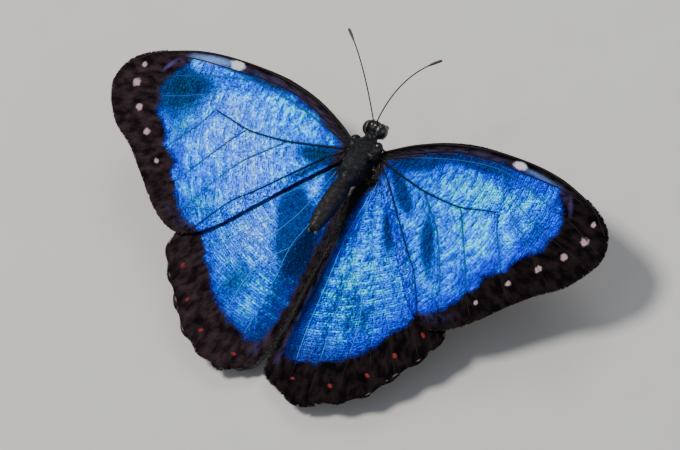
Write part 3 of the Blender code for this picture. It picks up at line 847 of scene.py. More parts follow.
def fused(points, faces):
    """One closed skin over overlapping forms: voxels, then a light smoothing. Works in mm."""
    mesh = bpy.data.meshes.new("rough")
    mesh.from_pydata(points.tolist(), [], faces.tolist())
    rough = show(bpy.data.objects.new("rough", mesh))
    remesh = rough.modifiers.new("fuse", "REMESH")
    remesh.mode = "VOXEL"
    remesh.voxel_size = VOXEL
    smooth = rough.modifiers.new("soften", "SMOOTH")
    smooth.factor = 0.5
    smooth.iterations = 4
    graph = bpy.context.evaluated_depsgraph_get()
    skin = bpy.data.meshes.new_from_object(rough.evaluated_get(graph))
    found = pull(skin.vertices, "co", width=3).reshape(-1, 3).astype(float)
    corners = pull(skin.loops, "vertex_index", np.int32).reshape(-1, 4)
    bpy.data.objects.remove(rough)
    for used in (mesh, skin):
        bpy.data.meshes.remove(used)
    return found, corners


def limb_table():
    """Coarse centre lines with thickness: the trunk, each limb on both sides, and the head."""
    path, wide, high = trunk_shape()
    table = [("trunk", path[::5], (0.5 * (wide + high))[::5])]
    for side in SIDES:
        for name in LIMBS:
            line, thick = limb_line(name)
            table.append((name, line[::3] * (side, 1, 1), thick[::3]))
    return table + [("head", np.array(((0.0, 4.6, 1.6), (0.0, 5.3, 1.6))), (1.45, 1.45))]


def nearest_limb(points, table):
    """For each point: the name of the limb whose surface is closest, and that limb's direction
    there."""
    best = np.full(len(points), FAR)
    limb = np.zeros(len(points), int)
    direction = np.zeros((len(points), 3))
    for number, (_, line, thick) in enumerate(table):
        for a, b, thin in zip(line[:-1], line[1:], thick):
            away = np.abs(segment_distance(points, (a, b)) - thin)
            closer = away < best
            best[closer], limb[closer] = away[closer], number
            direction[closer] = unit(b - a)
    return np.array([entry[0] for entry in table])[limb], direction


def coat_tone(points, names, chance):
    """How pale and how warm the coat is at each place, and its chance: black in front, brown
    towards the tail and on the legs, with pale spots on head and collar."""
    folded = points * (1, 1, 1)
    folded[:, 0] = np.abs(folded[:, 0])
    near = np.full(len(points), 9.0)
    for *spot, radius in PALE_SPOTS:
        near = np.minimum(near, np.linalg.norm(folded - spot, axis=1) / radius)
    leg = np.isin(names, ("foreleg", *WALKING_LEGS))
    below = ramp(-points[:, 2], -0.6, 2.5) * ~leg
    warm = np.where(leg, 0.55, ramp(-points[:, 1], 7.0, 5.0) * 0.8)
    pale = np.maximum(np.clip(1.25 - near, 0, 0.5) * 2, np.where(names == "palp", 0.22, 0.0))
    return columns(np.maximum(pale, below * 0.14), np.maximum(warm, below * 0.7), chance)


class Skin:
    """The fused body skin, and what tufts need to know of every face."""

    def __init__(self, material):
        points, faces = fused(*body_parts())
        points[:, 2] = np.maximum(points[:, 2], -HINGE_HEIGHT + 0.01)
        table = limb_table()
        names, _ = nearest_limb(points, table)
        self.obj = new_piece("body_skin", place(points), faces[:, ::-1], [material],
                             fields={"coat_tone": coat_tone(points, names, 0.5)})
        self.unwrap()
        corners = pull(self.obj.data.loops, "vertex_index", np.int32).reshape(-1, 4)
        spots = pull(self.obj.data.uv_layers["OFBake"].data, "uv", width=2)
        self.uv = spots.reshape(-1, 4, 2).mean(axis=1)
        sides = points[corners]
        self.centre = sides.mean(axis=1)
        cross = np.cross(sides[:, 2] - sides[:, 0], sides[:, 3] - sides[:, 1])
        self.area = np.linalg.norm(cross, axis=1) * 0.5
        self.normal = unit(cross)
        self.names, self.direction = nearest_limb(self.centre, table)

    def unwrap(self):
        """Unwrap the whole skin into the map OFBake."""
        self.obj.data.uv_layers.new(name="OFBake")
        bpy.context.view_layer.objects.active = self.obj
        self.obj.select_set(True)
        bpy.ops.object.mode_set(mode="EDIT")
        bpy.ops.mesh.select_all(action="SELECT")
        bpy.ops.uv.smart_project(angle_limit=math.radians(70), island_margin=0.002)
        bpy.ops.object.mode_set(mode="OBJECT")
        self.obj.select_set(False)

    def pick(self, mask, density, dice):
        """Faces drawn at so many a square millimetre from those in the mask."""
        chance = dice.uniform(0, 1, len(self.area))
        return np.nonzero(mask & (chance < self.area * density))[0]


HAIR_FACES = np.array([(0, 2, 1)]
                      + [face for k in (0, 3) for a, b in ((0, 1), (1, 2), (2, 0))
                         for face in ((k + a, k + b, k + b + 3), (k + a, k + b + 3, k + a + 3))]
                      + [(6, 7, 9), (7, 8, 9), (8, 6, 9)])
# The rings of a tuft: share of its length, share of its bend, share of its width.
HAIR_RINGS = ((-0.06, 0.0, 1.0), (0.38, 0.30, 0.92), (0.74, 0.62, 0.55))
HAIR_TIP = (1.0, 0.85)


def add_hair(name, root, normal, lead, size, lean, tone, uv, material, side=1, droop=0.55):
    """Tufts: each a closed three-sided spike of three rings and a tip, leaning over the skin
    from the normal towards the lead, and bending down further along its length."""
    length, width = size
    start = unit(scaled(np.cos(lean), lead) + scaled(np.sin(lean), normal))
    end = unit(lead + scaled(np.sin(lean) * (1 - droop) - 0.06, normal))
    across = unit(np.cross(start, normal + 1e-6))
    above = np.cross(start, across)
    angle = (np.arange(3) * TURN / 3 + 0.5)[None, :, None]

    def middle(far, bend):
        """The tufts' centre lines at a share of their length, between start and end."""
        return (root + scaled(far * length, start * (1 - bend) + end * bend))[:, None]

    rings = [middle(far, bend) + (width * 0.5 * thick)[:, None, None]
             * (across[:, None] * np.cos(angle) + above[:, None] * np.sin(angle) * 0.6)
             for far, bend, thick in HAIR_RINGS]
    points = np.concatenate([*rings, middle(*HAIR_TIP)], axis=1)
    size = points.shape[1]
    rise = np.concatenate([np.repeat(np.arange(3) / 3.0, 3), [1.0]])
    patch = columns(np.tile((-0.5, 0.0, 0.5), 4)[:size], rise - 0.5) * PATCH
    obj = new_piece(name, place(points, side), repeated(HAIR_FACES, size, len(root), side),
                    [material], fields={"coat_tone": np.repeat(tone, size, axis=0)},
                    uv=(uv[:, None] + patch).reshape(-1, 2))


def add_body_coat(skin, material):
    """Hair over the trunk, head, palps and legs, longest on the thorax and shortest on face
    and feet, each region one piece: where, how many a square millimetre, their lengths, their
    widths and how far they stand off."""
    dice = np.random.default_rng(11)
    names, centre = skin.names, skin.centre
    trunk, head = names == "trunk", names == "head"
    for side in SIDES:
        offset = (centre - np.array(EYE_CENTRE) * (side, 1, 1)) / EYE_RADII
        head &= np.linalg.norm(offset, axis=1) > 0.98
    regions = {
        "thorax": (trunk & (centre[:, 1] > WAIST), 34, (1.1, 2.5), (0.12, 0.24), 0.50),
        "abdomen": (trunk & (centre[:, 1] <= WAIST), 40, (0.50, 1.15), (0.07, 0.14), 0.36),
        "head": (head, 70, (0.40, 0.90), (0.06, 0.12), 0.80),
        "palps": (names == "palp", 70, (0.28, 0.50), (0.05, 0.08), 0.45),
        "forelegs": (names == "foreleg", 50, (0.35, 0.70), (0.05, 0.08), 0.40),
        "legs": (np.isin(names, WALKING_LEGS), 34, (0.20, 0.38), (0.05, 0.08), 0.22),
    }
    for region, (mask, density, lengths, widths, lean) in regions.items():
        pick = skin.pick(mask, density, dice)
        root, normal, lead = centre[pick], skin.normal[pick], skin.direction[pick]
        if region in ("thorax", "abdomen"):
            lead = -lead
        if region == "head":
            lead = np.broadcast_to((0.0, 0.55, 1.0), root.shape)
        swirl = np.sin(root[:, [1, 2, 0]] * 4.3 + root[:, [2, 0, 1]] * 2.9)
        lead = lead + swirl * 0.30 + dice.normal(0, 0.16, root.shape)
        lead = unit(lead - (lead * normal).sum(1, keepdims=True) * normal)
        length = dice.uniform(*lengths, len(pick))
        lift = lean * dice.uniform(0.5, 1.4, len(pick)) * (1 + 0.45 * swirl[:, 0] * swirl[:, 1])
        if region == "thorax":
            fade = np.clip((root[:, 1] - WAIST) / 2.5, 0.45, 1)
            length = length * fade * np.clip((2.9 - root[:, 1]) / 2.0, 0.45, 1)
        if region == "legs":
            length = length * np.clip((root[:, 2] + 14.0) / 6.0, 0.55, 1)
            root, normal, lead, length, lift, pick = chosen(
                root[:, 2] > -12.86, root, normal, lead, length, lift, pick)
        tone = coat_tone(root, names[pick], dice.uniform(0, 1, len(pick)))
        add_hair("coat_" + region, root, normal, lead,
                 (length, dice.uniform(*widths, len(pick))), lift, tone, skin.uv[pick], material)


def add_wing_hair(wing, material, seed):
    """Long fine hair over the wing's root, and on a hindwing along the inner edge too."""
    dice = np.random.default_rng(seed)
    s, t = dice.uniform(0, wing.last, ROOT_HAIRS), dice.uniform(0.01, 0.99, ROOT_HAIRS)
    seats = wing.seats(s, t)
    reach = np.hypot(*seats.plane.T)
    keep = dice.uniform(0, 1, ROOT_HAIRS) < ramp(-reach, -9, 8) * 0.8
    if not wing.fore:
        strip = ramp(-seats.inset, -3.4, 2) * ramp(seats.plane[:, 1], -50, 10)
        keep = keep | (dice.uniform(0, 1, ROOT_HAIRS) < strip * 0.95)
    seats, reach = seats.only(keep), reach[keep]
    count = len(reach)
    lead = unit(seats.plane + np.array((0.6, -1.2)))
    if not wing.fore:
        rear = ramp(-seats.inset, -4, 3) * ramp(reach, 6, 6)
        lead = unit(scaled(1 - rear, lead) + scaled(rear, np.array((0.45, -1.0))))
    lead = unit(lead + dice.normal(0, 0.16, (count, 2)))
    length = dice.uniform(1.0, 2.1, count) * np.clip(1.2 - reach / 60.0, 0.5, 1)
    warm = 0.5 if wing.fore else np.clip(reach / 18.0, 0.3, 0.9)
    tuft = (dice.uniform(0, 1, count) > 0.72) * ramp(-reach, -5, 4)
    pale = dice.uniform(0, 0.10, count) + tuft * 0.40
    tone = columns(pale, warm, dice.uniform(0, 1, count))
    size = (length, dice.uniform(0.05, 0.09, count))
    add_hair(wing.name + "_hair", seats.here + seats.normal * 0.06, seats.normal,
             seats.along(lead), size, dice.uniform(0.10, 0.30, count), tone,
             wing_uv(seats.plane, False), material, wing.side, 0.7)
    if not wing.fore:
        add_inner_hair(wing, material, dice)


def add_inner_hair(wing, material, dice):
    """Long dark hair that reaches from a hindwing's inner edge towards the body, longest
    beside the abdomen and longer on the right, where the gap is wider: there it is painted shade,
    dark hair put where the abdomen's shadow falls."""
    count = INNER_HAIRS
    s = dice.uniform(4.0, len(wing.rows) - 8.0, count)
    seats = wing.seats(s, dice.uniform(0.93, 0.997, count))
    beside = ramp(seats.plane[:, 1], -26, 6) * ramp(-seats.plane[:, 1], 0.6, 1.8)
    lead = unit(dice.normal(0, 0.22, (count, 2)) - 0.75)
    # Longer on the right: dark hair standing in for the shade in the gap beside the abdomen.
    length = (0.7 + (2.3 if wing.side < 0 else 1.0) * beside) * dice.uniform(0.75, 1.35, count)
    tone = columns(0.0, dice.uniform(0, 0.5, count), dice.uniform(0, 0.8, count))
    size = (length, dice.uniform(0.09, 0.20, count))
    add_hair(wing.name + "_inner_hair", seats.here, seats.normal, seats.along(lead), size,
             dice.uniform(-0.10, 0.30, count), tone, wing_uv(seats.plane, False), material,
             wing.side, 0.9)


def add_eyes(material, rim_material):
    """Large domed eyes sunk a little into the head, each with a rim of pale scales."""
    dice = np.random.default_rng(31)
    count = RIM_HAIRS
    for side, word in SIDES.items():
        dome = mirrored(ball(EYE_CENTRE, EYE_RADII, 48, 64, inner=0.30), side)
        eye = add_shape("eye_" + word + "_dome", dome, material)
        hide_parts("eye_" + word)
        turn = dice.uniform(0, TURN, count)
        back = 1.56 + dice.normal(0, 0.05, count)
        net = columns(np.cos(back), np.sin(back) * np.cos(turn), np.sin(back) * np.sin(turn))
        root = np.array(EYE_CENTRE) + net * np.array(EYE_RADII) * (1.0, 0.99, 0.99)
        root[:, 0] -= 0.10
        normal = unit(net * (0.1, 1.0, 1.0))
        lead = unit(columns(0.55, -normal[:, 2] * 0.3, normal[:, 1] * 0.3))
        pale = dice.normal(0.06 + 0.50 * np.clip(np.sin(turn), 0, 1) ** 2, 0.22)
        tone = columns(np.clip(pale, 0, 1), 0.1, dice.uniform(0, 1, count))
        size = (dice.uniform(0.18, 0.32, count), dice.uniform(0.05, 0.08, count))
        add_hair("eye_" + word + "_rim", root, normal, lead, size, np.full(count, 0.25), tone,
                 columns(turn / 7.0 + 0.03, 0.5), rim_material, side)


def add_antennae(material):
    """Slender ringed feelers along a bowed line, that thicken into a slim club at the tip."""
    t = np.linspace(0, 1, 260)
    path = (np.array(ANTENNA_ROOT) + np.outer(t, ANTENNA_REACH)
            + np.outer(4 * t * (1 - t), ANTENNA_BOW))
    club = ramp(t, 0.80, 0.12)
    club = club * club * (3 - 2 * club) * (1 - ramp(t, 0.965, 0.035) ** 2 * 0.8)
    ring = np.sin(math.pi * np.mod(t * ANTENNA_RINGS, 1.0)) ** 2
    thick = np.where(t < 0.012, 0.24, (0.135 + 0.16 * club) * (1 + 0.10 * ring))
    for side, word in SIDES.items():
        shape = mirrored(tube(path, thick, thick, 12, (1.0, 0.0, 0.2)), side)
        obj = add_shape("antenna_" + word + "_rings", shape, material,
                        np.append(np.repeat(t, 12), (0.0, 1.0)))
        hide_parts("antenna_" + word)


def add_proboscis(material):
    """The tongue in its resting coil: a tapering ringed tube along a tightening spiral."""
    turn = np.linspace(0, 1.9 * TURN, 220)
    angle = math.radians(120) - turn
    reach = 1.5 - 0.62 * turn / TURN
    path = columns(0.0, 5.9 + reach * np.cos(angle), -2.3 + reach * np.sin(angle))
    path = np.vstack([smooth_path(((0.0, 5.6, -0.2), path[0]), 6)[:-1], path])
    thick = np.linspace(0.24, 0.09, len(path)) * (1 + 0.05 * np.sin(np.arange(len(path)) * 1.3))
    obj = add_shape("proboscis_coil", tube(path, thick * 0.85, thick, 14, (1.0, 0.0, 0.0)),
                    material, 0.4)
    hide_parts("proboscis")


def add_claspers(material):
    """The two pale curved plates at the tail's tip, swelling as a flattened sine."""
    share = np.linspace(0, 1, 40)
    thick = 0.36 * np.sin(np.clip(0.25 + share * 0.75, 0, 1) * math.pi) ** 0.6 + 0.05
    plate = tube(smooth_path(CLASPER, 40), thick * 0.75, thick, 18, (0.3, 0.0, 1.0))
    for side, word in SIDES.items():
        obj = add_shape("clasper_" + word + "_plate", mirrored(plate, side), material)
        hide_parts("clasper_" + word)


def add_claws(material):
    """Two small hooked claws at the end of each walking leg, on a sine to either hand."""
    share = np.linspace(0, 1, 14)
    thick = 0.075 * (1.05 - share)
    shapes = []
    for side in SIDES:
        for path in (MIDLEG, HINDLEG):
            line = smooth_path(path, 60)
            along = unit(line[-1] - line[-4])
            across = unit(np.cross(along, (0, 0, 1.0)))
            for hand in (1, -1):
                hook = (line[-1] + np.outer(share * 0.55, along)
                        + np.outer(np.sin(share * 2.2) * 0.16 * hand, across))
                hook[:, 2] += np.sin(share * math.pi) * 0.16 - share**2 * 0.10 + 0.02
                hook[:, 2] = np.maximum(hook[:, 2], -HINGE_HEIGHT + 0.04)
                shapes.append(mirrored(tube(hook, thick, thick, 8, (0.3, 0.2, 1.0)), side))
    obj = add_shape("claws", joined(shapes), material, 0.9)


class Tone:
    """A number or colour that a node tree works out; sums and products of tones are nodes."""

    def __init__(self, paint, socket):
        self.paint, self.socket = paint, socket

    def __mul__(self, other):
        return self.paint.math("MULTIPLY", self, other)

    def __add__(self, other):
        return self.paint.math("ADD", self, other)

    def line(self, gain, start):
        """The tone times a gain, plus a start."""
        return self.paint.math("MULTIPLY_ADD", self, gain, start)

    def sine(self):
        """The sine of the tone."""
        return self.paint.math("SINE", self)

    def step(self, low, high):
        """0 before low, 1 past high, and a smooth rise between."""
        node = self.paint.node("ShaderNodeMapRange", interpolation_type="SMOOTHSTEP")
        return self.paint.joined(node, Value=self, From_Min=low, From_Max=high)

    def shake(self, noise, low, high):
        """The tone moved by noise that runs from low to high."""
        return self + noise.line(high - low, low)


class Paint:
    """Short names for building a node material around one Principled shader."""

    def __init__(self, name, **fixed):
        self.material = bpy.data.materials.new(name)
        self.material.use_nodes = True
        self.tree = self.material.node_tree
        self.shader = self.tree.nodes["Principled BSDF"]
        for key, value in fixed.items():
            key = key.replace("_", " ").title().replace("Ior", "IOR")
            self.shader.inputs[key].default_value = value

    def node(self, kind, **settings):
        """A new node with its settings made."""
        made = self.tree.nodes.new(kind)
        for key, value in settings.items():
            setattr(made, key, value)
        return made

    def feed(self, socket, value):
        """Join a socket to a tone, or set it to a number or a colour."""
        if isinstance(value, Tone):
            self.tree.links.new(value.socket, socket)
        elif socket.type == "RGBA":
            socket.default_value = (*value, 1)
        else:
            socket.default_value = value

    def joined(self, node, out=0, **values):
        """Feed a node's named sockets and give back one of its outputs."""
        for key, value in values.items():
            self.feed(node.inputs[key.replace("_", " ")], value)
        return Tone(self, node.outputs[out])

    def place(self, name):
        """An attribute as a place."""
        node = self.node("ShaderNodeAttribute", attribute_name=name)
        return Tone(self, node.outputs["Vector"])

    def solid_place(self):
        """The place in the piece itself, in metres."""
        return Tone(self, self.node("ShaderNodeTexCoord").outputs["Object"])

    def stretched(self, place_, amounts):
        """A place with each of its numbers times its own amount."""
        node = self.node("ShaderNodeVectorMath", operation="MULTIPLY")
        node.inputs[1].default_value = amounts
        return self.joined(node, Vector=place_)

    def field(self, name):
        """The three numbers of an attribute."""
        node = self.node("ShaderNodeSeparateXYZ")
        self.feed(node.inputs[0], self.place(name))
        return [Tone(self, socket) for socket in node.outputs]

    def math(self, kind, *values):
        """One step of arithmetic on tones and numbers."""
        node = self.node("ShaderNodeMath", operation=kind)
        for socket, value in zip(node.inputs, values):
            self.feed(socket, value)
        return Tone(self, node.outputs[0])

    def mix(self, share, first, second):
        """The first colour, going over to the second as the share goes from 0 to 1."""
        node = self.node("ShaderNodeMix", data_type="RGBA")
        colours = [socket for socket in node.inputs if socket.type == "RGBA"]
        for socket, value in zip((node.inputs[0], *colours), (share, first, second)):
            self.feed(socket, value)
        return Tone(self, [socket for socket in node.outputs if socket.type == "RGBA"][0])

    def layers(self, colour, *coats):
        """Coats of colour laid one over another, each by its own share."""
        for share, coat in coats:
            colour = self.mix(share, colour, coat)
        return colour

    def noise(self, place_, scale, detail=2.0, stretch=None):
        """Smooth noise from 0 to 1 about 0.5 at a place."""
        if stretch:
            place_ = self.stretched(place_, stretch)
        node = self.node("ShaderNodeTexNoise")
        return self.joined(node, Vector=place_, Scale=scale, Detail=detail)

    def bump(self, height, strength, distance):
        """Relief on the shader, as deep as the distance in metres where the height is 1."""
        node = self.node("ShaderNodeBump")
        normal = self.joined(node, Strength=strength, Distance=distance, Height=height)
        self.feed(self.shader.inputs["Normal"], normal)

    def finish(self, colour, rough, metal=None):
        """Feed the shader its colour, roughness and metal, and give back the material."""
        self.feed(self.shader.inputs["Base Color"], colour)
        self.feed(self.shader.inputs["Roughness"], rough)
        if metal is not None:
            self.feed(self.shader.inputs["Metallic"], metal)
        return self.material


def wing_arcs(paint):
    """The place in arcs about the wing's root, without its third number, and the rows of
    scales there: fine ridges across the wing's length, a little uneven."""
    arcs = paint.stretched(paint.place("wing_polar"), (1, 1, 0))
    _, reach, gleam = paint.field("wing_polar")
    wander = paint.noise(arcs, 0.5, 1.0)
    rows = reach.line(TURN / ROW_PITCH, wander * 7.0).sine().line(0.5, 0.5)
    return arcs, reach, gleam, rows


def upper_material():
    """The wing's upper side: hammered metallic blue with painted highlights and painted shade in
    patches, the left wing painted brighter, cobalt near its border, teal and lavender in places as
    painted sheen and reflection, painted shade beside the forewing's veins, and a black-brown
    margin with rose, white and red marks."""
    paint = Paint("wing_upper_scales", specular_ior_level=0.02, specular_tint=(0, 0.3, 1, 1))
    blue, vein, edge = paint.field("wing_mark")
    dots, flecks, red = paint.field("wing_spot")
    _, grain, left = paint.field("wing_fact")
    # Lavender, teal and the last tone are painted reflection, painted sheen and painted light and
    # shade.
    lavender, teal, light_and_shade = paint.field("wing_tone")
    outward, forward, level = paint.field("wing_place")
    arcs, reach, gleam, rows = wing_arcs(paint)
    speck = paint.noise(paint.place("wing_place"), 1.4)
    middle = paint.noise(paint.place("wing_place"), 0.3, 3.0)
    ripple = paint.noise(arcs, 0.8, 4.0, (0.5, 1, 1))
    hair = paint.noise(arcs, 1.5, 3.0, (1, 0.22, 1))
    mottle = ripple * 0.66 + speck * 0.34 + grain.line(0.10, -0.05)
    # The hammered look: partly the scales' own uneven tone, partly painted light, and moved by the
    # patches of painted light and shade. Where it runs high the blue takes painted cyan glints,
    # where it runs low painted shade.
    lit = mottle + light_and_shade * 0.115 + middle.line(0.26, -0.13)
    high, low = lit.step(0.50, 0.66), lit.step(0.51, 0.39)
    hindmost = level.step(20.0, 40.0)

    # The left wing is moved deeper into the blue, so it takes the brighter azure and more glints:
    # a painted reflection of the key light on that wing.
    depth = blue.shake(middle, -3.5, 2.0).shake(left, 0.0, 2.5)
    # Painted shade: where the patches of light and shade run below 0, such as the body's shadow
    # and the folds, the blue is darkened to navy.
    sunk = light_and_shade.shake(mottle, 0.5, -0.5).step(-0.05, -0.85)
    ribbed = (reach.step(26.0, 42.0) * hindmost).line(0.50, 0.16)
    metallic = paint.layers(
        paint.mix(depth.step(0.2, 6.5), (0, 0.022, 0.72), (0, 0.16, 0.98)),
        # Painted cyan glints.
        (high * depth.step(0.5, 6.5).line(0.72, 0.13), (0, 0.7, 1)),
        # Painted shade between the glints.
        (low * 0.70, (0, 0.038, 0.38)),
        # Painted sheen and shade: teal where the iridescence turns darker and greener.
        (teal * 0.80, paint.mix(high, (0, 0.07, 0.14), (0, 0.46, 0.64))),
        # Painted reflection: the blue paled to lavender where the light is near its mirror angle.
        (lavender * 0.80, paint.mix(high, (0.034, 0.165, 0.82), (0.2, 0.43, 1))),
        # Painted shade, navy or dark teal.
        (sunk * 0.90, paint.mix(teal, (0, 0.016, 0.1), (0, 0.018, 0.036))),
        (forward.step(-37.0, -46.0) * hindmost * 0.88, (0.014, 0.015, 0.14)),
        # Painted shade: the forewing's blue darkened beside its veins.
        (vein.step(0.55, 0.05) * level.step(40.0, 20.0) * 0.45, (0.001, 0.024, 0.16)),
        (rows * ribbed, (0, 0.03, 0.22)))

    ground = (hair.line(0.7, 0.15) + middle.line(0.30, -0.15)).step(0.36, 0.70)
    violet = (edge.step(0.8, 1.8) * edge.step(3.8, 2.6) * blue.step(-3.6, -0.8)
              * hair.step(0.30, 0.62))
    black = paint.mix(ground, (0.0026, 0.0018, 0.0017), (0.02, 0.0125, 0.0115))
    brown = paint.mix(ground, (0.0062, 0.0036, 0.0042), (0.043, 0.026, 0.028))
    # The left wing's margin is painted browner and lighter than the right's: painted light on that
    # side.
    margin = paint.layers(black, (left, brown), (violet * 0.70, (0.046, 0.036, 0.105)))

    inside = blue.shake(middle, -1.3, 1.3).shake(mottle, -0.6, 0.6).step(-0.75, 0.75)
    spot = dots.shake(speck, -0.55, 0.55).shake(mottle, -0.2, 0.2).step(1.20, 0.55)
    mark = flecks.shake(mottle, -0.5, 0.5).step(1.20, 0.60)
    ember = red.shake(mottle, -0.6, 0.6).step(1.20, 0.55)
    # A pale streak by the leading edge, partly a painted highlight: it is stronger on the left
    # wing.
    shine = gleam.shake(mottle, -0.4, 0.4).step(1.30, 0.15) * left.line(0.38, 0.36)
    colour = paint.layers(
        margin, (inside, metallic),
        (shine, paint.mix(outward.step(43.0, 46.0), (0.23, 0.4, 0.86), (0.1, 0.065, 0.22))),
        (spot, (0.46, 0.31, 0.34)),
        (mark, paint.mix(hindmost, (0.66, 0.66, 0.72), (0.17, 0.125, 0.1))),
        (ember, (0.25, 0.032, 0.028)))
    paint.bump(ripple * 1.3 + speck + rows * 0.14, 1.0, 0.00030)
    metal = inside * 0.94 * paint.math("MAXIMUM", mark, spot).line(-1.0, 1.0)
    return paint.finish(colour, inside.line(-0.24, 0.66), metal)


# The eyes of the underside from rim to pupil: where each ring fades in and ends, and its tint.
EYE_RINGS = (((1.42, 1.34), (0.3, 0.22, 0.14)), ((1.26, 1.18), (0.02, 0.012, 0.01)),
             ((1.06, 1.00), (0.52, 0.34, 0.09)), ((0.80, 0.74), (0.01, 0.008, 0.008)),
             ((0.34, 0.28), (0.16, 0.12, 0.22)), ((0.20, 0.15), (0.8, 0.8, 0.78)))


def under_material():
    """The wing's underside: brown, crossed by wavy paler and darker bands, with ringed eyes."""
    paint = Paint("wing_under_scales", specular_ior_level=0.3, sheen_weight=0.15)
    _, vein, edge = paint.field("wing_mark")
    ring, grain, _ = paint.field("wing_fact")
    fine = paint.noise(paint.place("wing_place"), 2.4)
    middle = paint.noise(paint.place("wing_place"), 0.3, 3.0)
    wave = edge.line(0.62, middle * 6.0).sine()
    ring = ring.shake(grain, -0.06, 0.06)
    colour = paint.layers(
        paint.mix(middle.step(0.35, 0.65), (0.085, 0.048, 0.026), (0.17, 0.105, 0.06)),
        (wave.step(0.72, 0.95), (0.42, 0.33, 0.22)),
        (wave.step(-0.55, -0.90), (0.045, 0.024, 0.014)),
        (edge.shake(middle, -0.6, 0.6).step(2.6, 1.8), (0.055, 0.028, 0.018)),
        (edge.step(1.05, 0.85) * edge.step(0.35, 0.55), (0.36, 0.25, 0.15)),
        *[(ring.step(*span), tint) for span, tint in EYE_RINGS],
        (vein.step(0.22, 0.02), (0.06, 0.034, 0.02)),
        (grain * 0.30, (0.26, 0.19, 0.13)))
    paint.bump(wing_arcs(paint)[3] + fine, 0.35, 0.00008)
    return paint.finish(colour, grain.line(0.2, 0.55))


def vein_material():
    """Veins: near black where they are dark, a paler blue within the blue field where they are
    not, and brown on the underside."""
    paint = Paint("wing_vein", specular_ior_level=0.12)
    blue, dark, upper = paint.field("vein_tone")
    noise = paint.noise(paint.solid_place(), 2400.0, 3.0)
    within = blue.step(-0.3, 0.8)
    black = paint.mix(noise, (0.001, 0.002, 0.005), (0.008, 0.009, 0.02))
    soot = paint.mix(noise, (0.0015, 0.0012, 0.0015), (0.009, 0.006, 0.0065))
    pale = paint.mix(noise, (0.01, 0.14, 0.56), (0.06, 0.36, 0.9))
    brown = paint.mix(noise, (0.03, 0.016, 0.01), (0.09, 0.052, 0.032))
    top = paint.mix(within, soot, paint.mix(dark, pale, black))
    paint.bump(noise, 0.3, 0.00003)
    metal = dark.line(-1.0, 1.0) * upper * within * 0.6
    return paint.finish(paint.mix(upper, brown, top), noise.line(0.25, 0.35), metal)


def coat_material(name, relief):
    """Hair and the skin under it: black to brown, paling to ash at the spots."""
    paint = Paint(name, specular_ior_level=0.42)
    pale, warm, chance = paint.field("coat_tone")
    spot = paint.solid_place()
    noise, broad = paint.noise(spot, 1500.0, 3.0), paint.noise(spot, 350.0)
    black = paint.mix(chance, (0.0008, 0.0009, 0.0012), (0.007, 0.0075, 0.0105))
    brown = paint.mix(chance, (0.0025, 0.0016, 0.0014), (0.024, 0.015, 0.0125))
    colour = paint.layers(
        black, (warm.shake(broad, -0.25, 0.25), brown),
        # A few hairs pale grey-blue: partly pale hairs, partly a painted sheen on the black coat.
        (chance.step(0.86, 0.98) * 0.45, (0.12, 0.12, 0.135)),
        (pale.shake(noise, -0.15, 0.15).step(0.10, 0.90), (0.46, 0.43, 0.39)))
    paint.bump(paint.noise(spot, 5200.0, 2.0, (1, 0.35, 1)), relief, 0.00003)
    return paint.finish(colour, noise.line(0.25, 0.34))


def eye_material():
    """A dark faceted eye with faint bands, tinted green as a painted glint, and a wet gloss."""
    paint = Paint("eye_facets", coat_weight=0.35, coat_roughness=0.05, specular_ior_level=0.4)
    spot = paint.solid_place()
    cells = paint.node("ShaderNodeTexVoronoi")
    facets = paint.joined(cells, "Distance", Vector=spot, Scale=11000.0)
    # Faint bands tinted green: the eye's own banding, with its green a painted glint.
    bands = paint.noise(spot, 620.0).step(0.42, 0.62)
    colour = paint.layers(paint.mix(bands, (0.004, 0.004, 0.003), (0.006, 0.017, 0.013)),
                          (facets * 0.5, (0.002, 0.002, 0.002)))
    paint.bump(facets, 0.35, 0.00002)
    return paint.finish(colour, facets.line(0.25, 0.18))


def limb_material():
    """Feelers, tongue and claws: dark brown, ringed, redder towards a feeler's club."""
    paint = Paint("feeler_rings", specular_ior_level=0.45)
    share = Tone(paint, paint.node("ShaderNodeAttribute", attribute_name="limb_share")
                 .outputs["Fac"])
    noise = paint.noise(paint.solid_place(), 3000.0, 3.0)
    rings = (share * (ANTENNA_RINGS * TURN)).sine()
    colour = paint.layers(
        paint.mix(noise, (0.008, 0.006, 0.006), (0.034, 0.02, 0.014)),
        (share.step(0.78, 0.98) * 0.7, (0.07, 0.026, 0.012)),
        (rings.step(0.80, 0.98) * 0.22, (0.16, 0.13, 0.1)))
    paint.bump(noise, 0.35, 0.00003)
    return paint.finish(colour, noise.line(0.3, 0.32))


def clasper_material():
    """Tan horn, stained dark in patches."""
    paint = Paint("clasper_horn", specular_ior_level=0.45, subsurface_weight=0.1)
    noise = paint.noise(paint.solid_place(), 1600.0, 3.0)
    stain = noise.step(0.35, 0.65)
    paint.bump(paint.noise(paint.solid_place(), 4200.0), 0.4, 0.00004)
    return paint.finish(paint.mix(stain, (0.2, 0.135, 0.07), (0.04, 0.022, 0.013)),
                        noise.line(0.3, 0.35))


def add_floor():
    """A plain pale floor far wider than the view."""
    reach = 3.0
    mesh = bpy.data.meshes.new("floor")
    mesh.from_pydata([(-reach, -reach, 0), (reach, -reach, 0), (reach, reach, 0),
                      (-reach, reach, 0)], [], [(0, 1, 2, 3)])
    floor = show(bpy.data.objects.new("floor", mesh))
    paint = Paint("floor_matte", specular_ior_level=0.2)
    noise = paint.noise(paint.solid_place(), 90.0, 4.0)
    paint.bump(paint.noise(paint.solid_place(), 2200.0), 0.15, 0.00005)
    colour = paint.mix(noise, (0.56, 0.545, 0.525), (0.62, 0.605, 0.585))
    mesh.materials.append(paint.finish(colour, noise.line(0.1, 0.75)))


